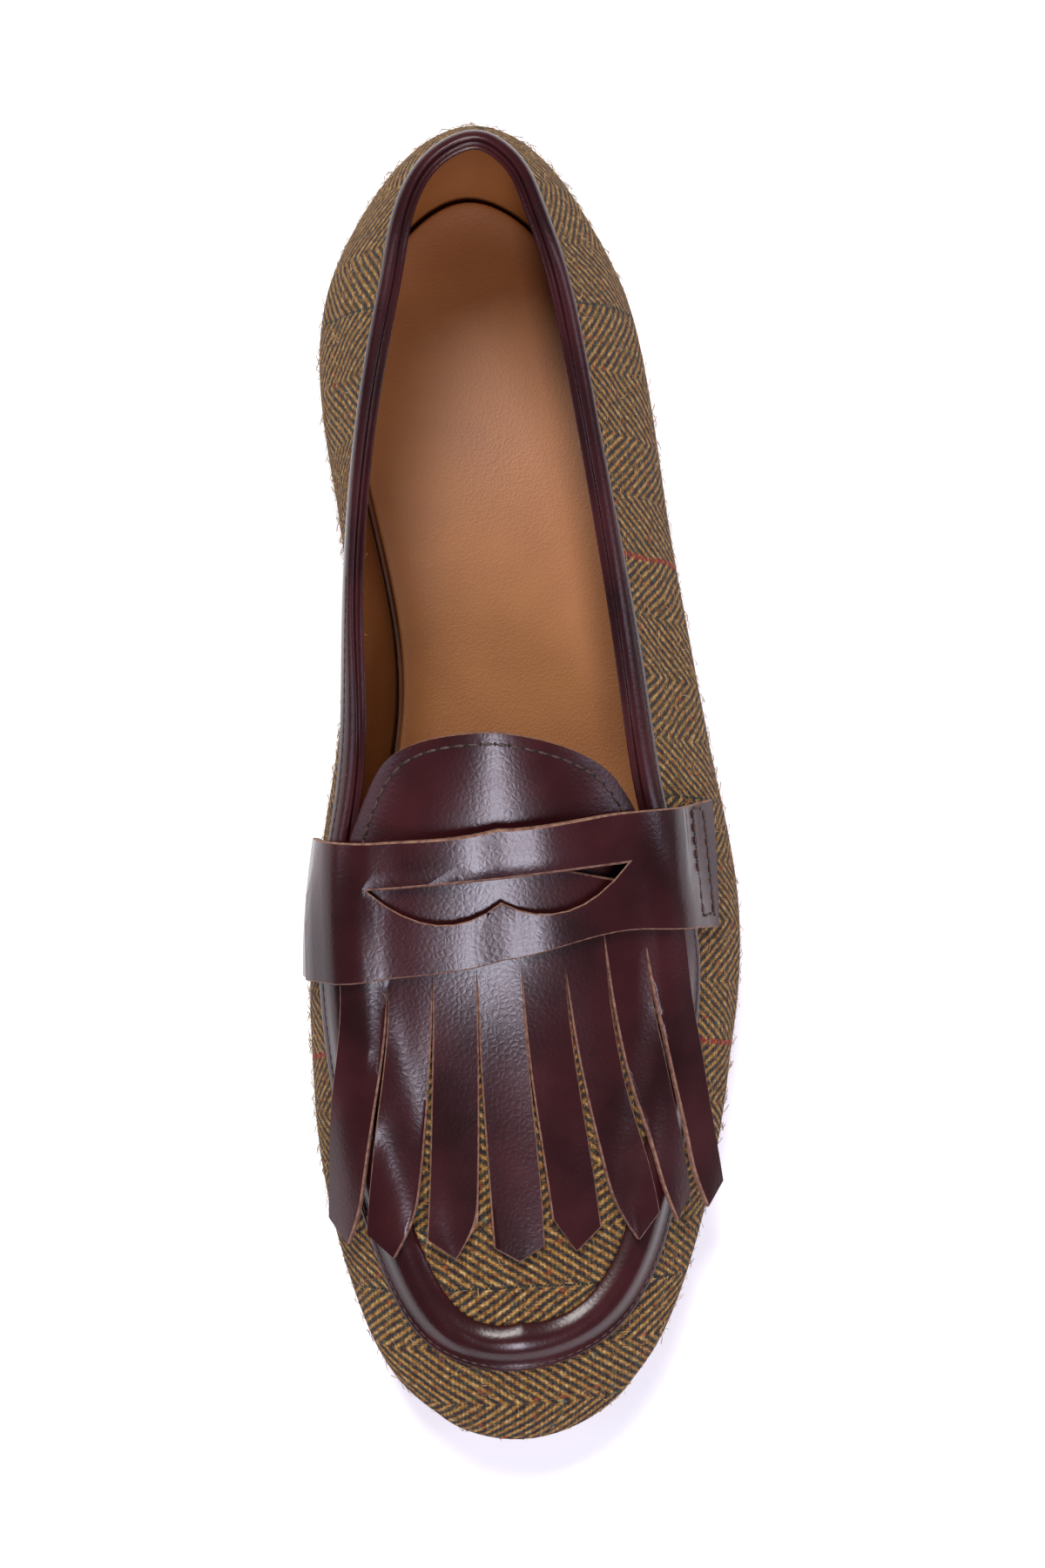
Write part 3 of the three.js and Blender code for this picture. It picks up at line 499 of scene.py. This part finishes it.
weft = maths(tree, "SINE", maths(tree, "MULTIPLY", flat.outputs["X"], 2 * math.pi / WEFT_YARN))
warp = maths(tree, "SINE", maths(tree, "MULTIPLY", flat.outputs["Y"], 2 * math.pi / WARP_YARN))
steps = maths(tree, "MULTIPLY_ADD", weft, 0.25, ridge)
steps = maths(tree, "MULTIPLY_ADD", warp, 0.18, steps)
hairs = node(tree, "TexNoise", Vector=uv, Scale=1 / FIBRE, Detail=4.0, Roughness=0.8).outputs["Fac"]
hairy = maths(tree, "MULTIPLY_ADD", hairs, 3.5, steps)
weave = node(tree, "MapRange", Value=hairy, From_Min=1.0, From_Max=2.5).outputs["Result"]
yarn_tone = node(tree, "TexNoise", Vector=uv, Scale=1 / YARN_SHADE, Detail=4.0, Roughness=0.8).outputs["Fac"]
mustard = ramp(tree, yarn_tone, (0.36, "#5f3a26"), (0.46, "#90632f"), (0.54, "#a67f42"), (0.64, "#c4a473"))
charcoal = ramp(tree, yarn_tone, (0.36, "#281a1d"), (0.46, "#2e2428"), (0.54, "#25342f"), (0.64, "#643c26"))
cloth_colour = blend_colours(tree, weave, charcoal, mustard)
flecks = node(tree, "TexVoronoi", Vector=loose, Scale=1 / FLECK)
kind = node(tree, "SeparateColor", Color=flecks.outputs["Color"])
size = node(tree, "MapRange", Value=flecks.outputs["Distance"], From_Min=0.34, From_Max=0.16).outputs["Result"]
some = maths(tree, "GREATER_THAN", kind.outputs["Red"], 0.6)
tints = node(tree, "ValToRGB", Fac=kind.outputs["Green"])
tints.color_ramp.interpolation = "CONSTANT"
tints.color_ramp.elements.new(0.4)
tints.color_ramp.elements.new(0.7)
for element, tint in zip(tints.color_ramp.elements, ("#9a4324", "#5e5a2c", "#2f5350", "#c79a58")):
    element.color = colour(tint)
share = maths(tree, "MULTIPLY", maths(tree, "MULTIPLY", size, some), 0.75)
cloth_colour = blend_colours(tree, share, cloth_colour, tints.outputs["Color"])
# One red yarn on every eighth turn of the slant, and a dark green one halfway between.
check = maths(tree, "FRACT", maths(tree, "DIVIDE", zone, CHECK_REPEAT))
seen = node(tree, "MapRange", Value=weft, From_Min=-0.7, From_Max=0.1).outputs["Result"]
for middle, tint in ((0.5, "#a02a20"), (0.0, "#1c2c2e")):
    off = maths(tree, "ABSOLUTE", maths(tree, "SUBTRACT", check, middle))
    thin = node(tree, "MapRange", Value=off, From_Min=0.0065, From_Max=0.0035).outputs["Result"]
    cloth_colour = blend_colours(tree, maths(tree, "MULTIPLY", thin, seen), cloth_colour, colour(tint))
tree.links.new(cloth_colour, shader.inputs["Base Color"])
relief = maths(tree, "MULTIPLY_ADD", hairs, 0.8, weave)
bump = node(tree, "Bump", Height=relief, Distance=WEAVE_RELIEF, Strength=0.9)
tree.links.new(bump.outputs["Normal"], shader.inputs["Normal"])
shader.inputs["Roughness"].default_value = 0.95
shader.inputs["Specular IOR Level"].default_value = 0.1
shader.inputs["Sheen Weight"].default_value = 0.06
shader.inputs["Sheen Roughness"].default_value = 0.5

# Vegetable-tanned calf lining, tan and smooth, with fine pores 0.5 mm apart and soft wear that darkens it.
PORE = 0.526 * MM
PORE_DEPTH = 0.08 * MM
PATCH = 26.3 * MM
lining, tree, shader = new_material("tan_calf_lining")
spot = node(tree, "TexCoord").outputs["Object"]
patches = node(tree, "TexNoise", Vector=spot, Scale=1 / PATCH, Detail=4.0).outputs["Fac"]
tree.links.new(ramp(tree, patches, (0.3, "#875025"), (0.7, "#9a6130")), shader.inputs["Base Color"])
pores = node(tree, "TexVoronoi", Vector=spot, Scale=1 / PORE).outputs["Distance"]
rough = node(tree, "MapRange", Value=patches, To_Min=0.42, To_Max=0.6).outputs["Result"]
tree.links.new(rough, shader.inputs["Roughness"])
bump = node(tree, "Bump", Height=pores, Distance=PORE_DEPTH, Strength=0.5)
tree.links.new(bump.outputs["Normal"], shader.inputs["Normal"])


FOOT_HEIGHT = 30 * MM


def faces_inwards(face):
    """True for a face of the wall that looks at the foot."""
    centre = Vector((AXIS_X, min(HEEL_CENTRE.y, max(TIP_TURN_Y, face.center.y)), FOOT_HEIGHT))
    return face.normal.dot(face.center - centre) < 0


paint(upper, [tweed, lining], lambda face: 1 if faces_inwards(face) else 0)
only(upper)
bpy.ops.object.shade_smooth()
put_in_place(upper, "upper")

# Wool hairs. Loose fibres that stand out of the tweed, 0.7 to 1.9 mm long and thickened to about 0.08 mm so
# that they show. One bent hair is modelled and set on the cloth again and again, each time turned and scaled.
HAIRS = 7000
HAIR_RADIUS = 0.03 * MM
HAIR_LENGTH = 1.0 * MM
HAIR_SCALE = (0.7, 1.9)
HAIR_KNEE = 0.4
HAIR_RISE = 0.5
HAIR_DROOP = 0.45
HAIR_CURL = 0.3
HAIR_SHADE = 1.11 * MM


def scattered(name, template, places):
    """One mesh of a template repeated at each matrix."""
    points = [v.co.copy() for v in template.data.vertices]
    faces = [tuple(p.vertices) for p in template.data.polygons]
    all_points = []
    all_faces = []
    for matrix in places:
        start = len(all_points)
        all_points += [matrix @ p for p in points]
        all_faces += [tuple(start + i for i in face) for face in faces]
    mesh = bpy.data.meshes.new(name)
    mesh.from_pydata(all_points, [], all_faces)
    mesh.update()
    bpy.data.objects.remove(template)
    piece = bpy.data.objects.new(name, mesh)
    bpy.context.scene.collection.objects.link(piece)
    return piece


def standing(point, along, normal, scale):
    """A matrix that lays a template's x along a direction on the surface and its z along the normal."""
    up = normal.normalized()
    across = up.cross(along).normalized()
    forwards = across.cross(up)
    turn = Matrix((forwards, across, up)).transposed().to_4x4()
    return Matrix.Translation(point) @ turn @ Matrix.Diagonal((*scale, 1))


bpy.ops.object.select_all(action="DESELECT")
bpy.ops.mesh.primitive_cylinder_add(vertices=3, radius=HAIR_RADIUS, depth=HAIR_LENGTH,
                                    location=(HAIR_LENGTH / 2, 0, 0), rotation=(0, math.pi / 2, 0))
hair = bpy.context.object
bpy.ops.object.transform_apply()
bpy.ops.object.mode_set(mode="EDIT")
bpy.ops.mesh.select_all(action="SELECT")
bpy.ops.mesh.bisect(plane_co=(HAIR_KNEE * HAIR_LENGTH, 0, 0), plane_no=(1, 0, 0))
bpy.ops.object.mode_set(mode="OBJECT")
for vertex in hair.data.vertices:
    share = vertex.co.x / HAIR_LENGTH
    vertex.co.z += HAIR_RISE * HAIR_LENGTH * share * (1 - HAIR_DROOP * share)
    vertex.co.y += HAIR_CURL * HAIR_LENGTH * share * share
dice = random.Random(7)
outer_faces = [f for f in upper.data.polygons if f.material_index == 0]
weights = [f.area for f in outer_faces]
places = []
for face in dice.choices(outer_faces, weights, k=HAIRS):
    corners = [upper.data.vertices[i].co for i in face.vertices]
    a, b = dice.random(), dice.random()
    point = corners[0].lerp(corners[1], a).lerp(corners[3 % len(corners)].lerp(corners[2], a), b)
    angle = dice.uniform(0, 2 * math.pi)
    along = Vector((math.cos(angle), math.sin(angle), dice.uniform(-0.7, 0.7)))
    size = dice.uniform(*HAIR_SCALE)
    places.append(standing(point, along, face.normal, (size, size, size * dice.uniform(0.5, 1.8))))
fuzz = scattered("tweed_hairs", hair, places)
wool, tree, shader = new_material("loose_wool_fibre")
spot = node(tree, "TexCoord").outputs["Object"]
dye = node(tree, "TexNoise", Vector=spot, Scale=1 / HAIR_SHADE, Detail=1.0).outputs["Fac"]
tones = ramp(tree, dye, (0.3, "#2a2422"), (0.45, "#6f4d2a"), (0.6, "#a98452"), (0.75, "#c9ab7c"))
tree.links.new(tones, shader.inputs["Base Color"])
shader.inputs["Roughness"].default_value = 0.9
shader.inputs["Sheen Weight"].default_value = 0.3
fuzz.data.materials.append(wool)
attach(fuzz, "root")


# Burgundy calf for the trim: chrome-tanned, glazed and polished, so dark with a clear gloss. Its grain is a net
# of creases about 1.2 mm apart, twice as coarse as the real one so that it shows, with a few soft wrinkles.
CLOUD = 18.2 * MM


def leather(name, dark, light, grain, grain_depth, roughness, coat):
    """A leather in two shades, with a grain of that width and depth, a roughness and a glazed coat."""
    made, tree, shader = new_material(name)
    spot = node(tree, "TexCoord").outputs["Object"]
    cloud = node(tree, "TexNoise", Vector=spot, Scale=1 / CLOUD, Detail=4.0).outputs["Fac"]
    tree.links.new(ramp(tree, cloud, (0.32, dark), (0.68, light)), shader.inputs["Base Color"])
    bend = node(tree, "TexNoise", Vector=spot, Scale=0.4 / grain, Detail=2.0).outputs["Color"]
    bent = node(tree, "VectorMath", [("operation", "SCALE")], in_0=bend, Scale=0.6 * grain).outputs["Vector"]
    place = node(tree, "VectorMath", [("operation", "ADD")], in_0=spot, in_1=bent).outputs["Vector"]
    net = node(tree, "TexVoronoi", [("feature", "DISTANCE_TO_EDGE")], Vector=place, Scale=1 / grain)
    crinkle = node(tree, "MapRange", Value=net.outputs["Distance"], From_Max=0.35).outputs["Result"]
    wrinkle = node(tree, "TexNoise", Vector=spot, Scale=0.2 / grain, Detail=3.0).outputs["Fac"]
    height = maths(tree, "MULTIPLY_ADD", wrinkle, 0.6, crinkle)
    bump = node(tree, "Bump", Height=height, Distance=grain_depth, Strength=0.4)
    tree.links.new(bump.outputs["Normal"], shader.inputs["Normal"])
    gloss = node(tree, "MapRange", Value=cloud, To_Min=roughness - 0.06, To_Max=roughness + 0.08)
    tree.links.new(gloss.outputs["Result"], shader.inputs["Roughness"])
    shader.inputs["Coat Weight"].default_value = coat
    shader.inputs["Coat Roughness"].default_value = 0.25
    shader.inputs["Specular IOR Level"].default_value = 0.32
    return made


CALF_GRAIN = 1.176 * MM
CALF_RELIEF = 0.03 * MM
burgundy = leather("glazed_burgundy_calf", "#1f080a", "#351114", CALF_GRAIN, CALF_RELIEF, 0.25, 0.05)

# Cut edge of the same hide: the fibre under the dyed grain, light brown and matt.
CUT_FIBRE = 1.11 * MM
CUT_RELIEF = 0.1 * MM
raw_edge, tree, shader = new_material("raw_cut_calf_edge")
spot = node(tree, "TexCoord").outputs["Object"]
fibre = node(tree, "TexNoise", Vector=spot, Scale=1 / CUT_FIBRE, Detail=3.0).outputs["Fac"]
tree.links.new(ramp(tree, fibre, (0.3, "#573427"), (0.7, "#8a6552")), shader.inputs["Base Color"])
shader.inputs["Roughness"].default_value = 0.8
bump = node(tree, "Bump", Height=fibre, Distance=CUT_RELIEF, Strength=0.6)
tree.links.new(bump.outputs["Normal"], shader.inputs["Normal"])


def paint_leather(piece, corner):
    """Paints a leather sheet: its grain and flesh sides burgundy, and the narrow faces between them, which turn
    from them by more than a corner's angle in degrees, as cut edges."""
    shape = bmesh.new()
    shape.from_mesh(piece.data)
    shape.faces.ensure_lookup_table()
    group = {}
    areas = []
    for seed in shape.faces:
        if seed.index in group:
            continue
        group[seed.index] = len(areas)
        waiting = [seed]
        area = 0
        while waiting:
            face = waiting.pop()
            area += face.calc_area()
            for edge in face.edges:
                for other in edge.link_faces:
                    if other.index not in group and edge.calc_face_angle(0) < math.radians(corner):
                        group[other.index] = len(areas)
                        waiting.append(other)
        areas.append(area)
    shape.free()
    sides = sorted(range(len(areas)), key=lambda g: -areas[g])[:2]
    paint(piece, [burgundy, raw_edge], lambda face: 0 if group[face.index] in sides else 1)


# Thread. One stitch is a short rounded bar, pressed in at its ends where it goes through a needle hole.
PLY = 0.667 * MM
PLY_RELIEF = 0.08 * MM
thread, tree, shader = new_material("waxed_brown_thread")
spot = node(tree, "TexCoord").outputs["Object"]
ply = node(tree, "TexNoise", Vector=spot, Scale=1 / PLY, Detail=2.0).outputs["Fac"]
tree.links.new(ramp(tree, ply, (0.3, "#1f100c"), (0.7, "#4a2f25")), shader.inputs["Base Color"])
shader.inputs["Roughness"].default_value = 0.6
bump = node(tree, "Bump", Height=ply, Distance=PLY_RELIEF, Strength=0.6)
tree.links.new(bump.outputs["Normal"], shader.inputs["Normal"])
# Needle holes. Each is a small flat disk sunk into the seam. Its near-black colour, mottled a little, is
# painted shade standing for the hole's depth.
painted_hole_shade, tree, shader = new_material("needle_hole_shadow")
spot = node(tree, "TexCoord").outputs["Object"]
hole_shade_mottle = node(tree, "TexNoise", Vector=spot, Scale=1 / PLY).outputs["Fac"]
tree.links.new(ramp(tree, hole_shade_mottle, (0.3, "#080404"), (0.7, "#140a0a")), shader.inputs["Base Color"])
shader.inputs["Roughness"].default_value = 0.9


STITCH_ROUNDS = 16


def smoothed(line):
    """A line of points with normals, with its small corners evened out."""
    for _ in range(STITCH_ROUNDS):
        inside = [((a[0] + 2 * b[0] + c[0]) / 4, b[1]) for a, b, c in zip(line, line[1:], line[2:])]
        line = [line[0], *inside, line[-1]]
    return line


def even_steps(line, pitch):
    """Points, directions and normals at even distances along a line of points with normals."""
    found = []
    due = pitch / 2
    gone = 0
    for (p, n), (q, m) in zip(line, line[1:]):
        length = (q - p).length
        while length > 0 and due <= gone + length:
            share = (due - gone) / length
            found.append((p.lerp(q, share), (q - p).normalized(), n.lerp(m, share).normalized()))
            due += pitch
        gone += length
    return found


STITCH_SHARE = 0.78
HOLE_DEPTH = 0.2 * MM


def sew(name, rows, pitch, thickness):
    """A row of stitches along each line, with a needle hole between each two, drawn as a dark disk of painted
    shade.
    """
    bpy.ops.object.select_all(action="DESELECT")
    bpy.ops.mesh.primitive_uv_sphere_add(segments=8, ring_count=6, radius=0.5, rotation=(0, math.pi / 2, 0))
    stitch = bpy.context.object
    bpy.ops.object.transform_apply()
    bpy.ops.object.select_all(action="DESELECT")
    bpy.ops.mesh.primitive_uv_sphere_add(segments=8, ring_count=4, radius=0.5)
    hole = bpy.context.object
    bpy.ops.object.transform_apply()
    stitches = []
    holes = []
    for row in rows:
        for point, along, normal in even_steps(smoothed(row), pitch):
            scale = (pitch * STITCH_SHARE, thickness, thickness * 0.8)
            stitches.append(standing(point + normal * thickness * 0.1, along, normal, scale))
            half = along * pitch * 0.5
            hole_scale = (thickness, thickness * 1.3, HOLE_DEPTH)
            holes.append(standing(point + half, along, normal, hole_scale))
    sewn = scattered(name, stitch, stitches)
    sewn.data.materials.append(thread)
    pierced = scattered(name + "_holes", hole, holes)
    pierced.data.materials.append(painted_hole_shade)
    for piece in (sewn, pierced):
        only(piece)
        bpy.ops.object.shade_smooth()
        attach(piece, "root")


# Collar binding. A strip of burgundy calf rolled over the rim of the quarters, its flat edge stitched down on
# the outside from the instep forwards.
FINE_PITCH = 1.9 * MM
FINE_THREAD = 0.34 * MM
FINE_INSET = 0.55 * MM
COLLAR_SEWN_FROM = -25 * MM
COLLAR_SEWN_TO = 52 * MM
binding = solid_copy("collar_binding", "rolled_collar_binding")
crease(binding, 70, 0.5)
subdivide(binding, 2)
paint(binding, [burgundy], lambda face: 0)
only(binding)
bpy.ops.object.shade_smooth()
put_in_place(binding, "collar_binding")
binding_surface = surface_of(binding)
rows = []
for side in (1, -1):
    line = edge_points(binding_surface, round_shoe(0.38 * side, 0.7 * side, 160), FINE_INSET)
    rows.append([(p, n) for p, n in line if COLLAR_SEWN_FROM < p.y < COLLAR_SEWN_TO])
sew("collar_stitches", rows, FINE_PITCH, FINE_THREAD)

# Apron roll. A padded roll of the same calf round the vamp, with a flat stitched flange outside it.
APRON_SEWN_TO = -26 * MM
apron = solid_copy("apron_band", "padded_apron_roll")
crease(apron, 70, 0.3)
subdivide(apron, 2)
paint(apron, [burgundy], lambda face: 0)
only(apron)
bpy.ops.object.shade_smooth()
put_in_place(apron, "apron_band")
apron_finished = surface_of(apron)
line = edge_points(apron_finished, round_shoe(0.5, 1, 200), FINE_INSET)
line += list(reversed(edge_points(apron_finished, round_shoe(-0.5, -1, 200), FINE_INSET)))
sew("apron_stitches", [[(p, n) for p, n in line if p.y < APRON_SEWN_TO]], FINE_PITCH, FINE_THREAD)

# Tongue. A sheet of burgundy calf under the strap, its edge stitched all round with a thicker thread.
TONGUE_HUB = Vector((AXIS_X, THROAT_Y, 0))
TONGUE_SWEEP = 88
TONGUE_STEPS = 120
TONGUE_INSET = 2.3 * MM
TONGUE_PITCH = 2.7 * MM
TONGUE_THREAD = 0.65 * MM
tongue = solid_copy("tongue", "calf_tongue")
crease(tongue, 50, 0.8)
paint_leather(tongue, 50)
subdivide(tongue, 2)
only(tongue)
bpy.ops.object.shade_smooth_by_angle(angle=math.radians(50))
put_in_place(tongue, "tongue")
tongue_surface = surface_of(tongue)
angles = [math.radians(TONGUE_SWEEP * (2 * i / TONGUE_STEPS - 1)) for i in range(TONGUE_STEPS + 1)]
spokes = [(TONGUE_HUB, Vector((math.sin(a), math.cos(a), 0))) for a in angles]
sew("tongue_stitches", [edge_points(tongue_surface, spokes, TONGUE_INSET)], TONGUE_PITCH, TONGUE_THREAD)

# Kiltie. A strip of calf cut into eight fringe strips with pointed ends. Its edges are left raw.
RAW_EDGE = 0.3 * MM
CORNER = math.radians(60)
SMOOTH_BELOW = math.radians(40)
kiltie = solid_copy("kiltie", "fringed_kiltie")
paint_leather(kiltie, 50)
apply_modifier(kiltie, "BEVEL", width=RAW_EDGE, segments=1, limit_method="ANGLE", angle_limit=CORNER,
               material=1, use_clamp_overlap=False)
crease(kiltie, 25, 1.0)
subdivide(kiltie, 2)
only(kiltie)
bpy.ops.object.shade_smooth_by_angle(angle=SMOOTH_BELOW)
put_in_place(kiltie, "kiltie")

# Penny strap. One thicker strip of calf across the instep with a slot cut through it, raw at the edges. It is
# eased down a little over the instep's ridge. Its outer end is sewn down with two rows, joined at both ends.
STRAP_PITCH = 2.6 * MM
STRAP_THREAD = 0.6 * MM
ROW_STEPS = 20
RIDGE_REACH = 9 * MM
RIDGE_DROP = 0.7 * MM
strap = solid_copy("strap", "penny_strap")
for vertex in strap.data.vertices:
    vertex.co.z -= RIDGE_DROP * max(0, 1 - abs(vertex.co.x - AXIS_X) / RIDGE_REACH) ** 1.5
paint_leather(strap, 50)
apply_modifier(strap, "BEVEL", width=RAW_EDGE, segments=1, limit_method="ANGLE", angle_limit=CORNER,
               material=1, use_clamp_overlap=False)
only(strap)
bpy.ops.object.shade_smooth_by_angle(angle=SMOOTH_BELOW)
put_in_place(strap, "strap")
STRAP_ROWS = (
    ((32.2, -8.6), (32.9, -22.0), (33.6, -29.6)),
    ((34.6, -8.6), (35.6, -21.7), (36.2, -28.6)),
    ((32.2, -8.6), (34.6, -8.6)),
    ((33.6, -29.6), (36.2, -28.6)),
)
strap_surface = surface_of(strap)
rows = []
for corners in STRAP_ROWS:
    row = []
    for (x, y), (x_next, y_next) in zip(corners, corners[1:]):
        for i in range(ROW_STEPS):
            spot = Vector((x, y)).lerp(Vector((x_next, y_next)), i / ROW_STEPS) * MM
            point, normal = onto(strap_surface, spot.x, spot.y)
            if point is not None:
                row.append((point, normal))
    rows.append(row)
sew("strap_stitches", rows, STRAP_PITCH, STRAP_THREAD)

# Insole. A cover of the lining calf on a cork filler, dished at the heel. It is left plain.
insole = solid_copy("insole", "calf_insole")
crease(insole, 60, 0.6)
subdivide(insole, 2)
paint(insole, [lining], lambda face: 0)
only(insole)
bpy.ops.object.shade_smooth()
put_in_place(insole, "insole")

# Outsole. Oak-bark tanned sole leather, its edge waxed dark brown.
SOLE_GRAIN = 1.43 * MM
SOLE_RELIEF = 0.05 * MM
SOLE_ROUNDING = 0.5 * MM
SHARP_EDGE = math.radians(30)
sole_leather = leather("waxed_sole_leather", "#5a3520", "#7a4a2c", SOLE_GRAIN, SOLE_RELIEF, 0.5, 0.1)
outsole = solid_copy("outsole", "leather_outsole")
apply_modifier(outsole, "BEVEL", width=SOLE_ROUNDING, segments=3, limit_method="ANGLE",
               angle_limit=SHARP_EDGE)
paint(outsole, [sole_leather], lambda face: 0)
only(outsole)
bpy.ops.object.shade_smooth_by_angle(angle=SMOOTH_BELOW)
put_in_place(outsole, "outsole")

# Heel. Lifts of sole leather 3 mm thick, glued up and waxed, so that their joints show as dark lines, with a
# rubber top piece below them.
LIFT = 3.0 * MM
HEEL_ROUNDING = 0.3 * MM
stack_leather = leather("waxed_heel_lifts", "#2c1710", "#45271a", SOLE_GRAIN, SOLE_RELIEF, 0.4, 0.1)
tree = stack_leather.node_tree
shader = tree.nodes["Principled BSDF"]
height = node(tree, "SeparateXYZ", Vector=node(tree, "TexCoord").outputs["Object"]).outputs["Z"]
joint = maths(tree, "PINGPONG", maths(tree, "DIVIDE", height, LIFT), 0.5)
line = node(tree, "MapRange", Value=joint, From_Min=0.0, From_Max=0.07).outputs["Result"]
dyed = shader.inputs["Base Color"].links[0].from_socket
tree.links.new(blend_colours(tree, line, colour("#120a07"), dyed), shader.inputs["Base Color"])
stack = solid_copy("heel_stack", "stacked_heel")
apply_modifier(stack, "BEVEL", width=HEEL_ROUNDING, segments=2, limit_method="ANGLE",
               angle_limit=SHARP_EDGE)
paint(stack, [stack_leather], lambda face: 0)
only(stack)
bpy.ops.object.shade_smooth_by_angle(angle=SMOOTH_BELOW)
put_in_place(stack, "heel_stack")

RUBBER_GRAIN = 1.11 * MM
RUBBER_RELIEF = 0.04 * MM
rubber = leather("moulded_heel_rubber", "#161514", "#22201e", RUBBER_GRAIN, RUBBER_RELIEF, 0.7, 0.0)
top_piece = solid_copy("heel_top_piece", "rubber_top_piece")
apply_modifier(top_piece, "BEVEL", width=HEEL_ROUNDING, segments=2, limit_method="ANGLE",
               angle_limit=SHARP_EDGE)
paint(top_piece, [rubber], lambda face: 0)
only(top_piece)
bpy.ops.object.shade_smooth_by_angle(angle=SMOOTH_BELOW)
put_in_place(top_piece, "heel_top_piece")
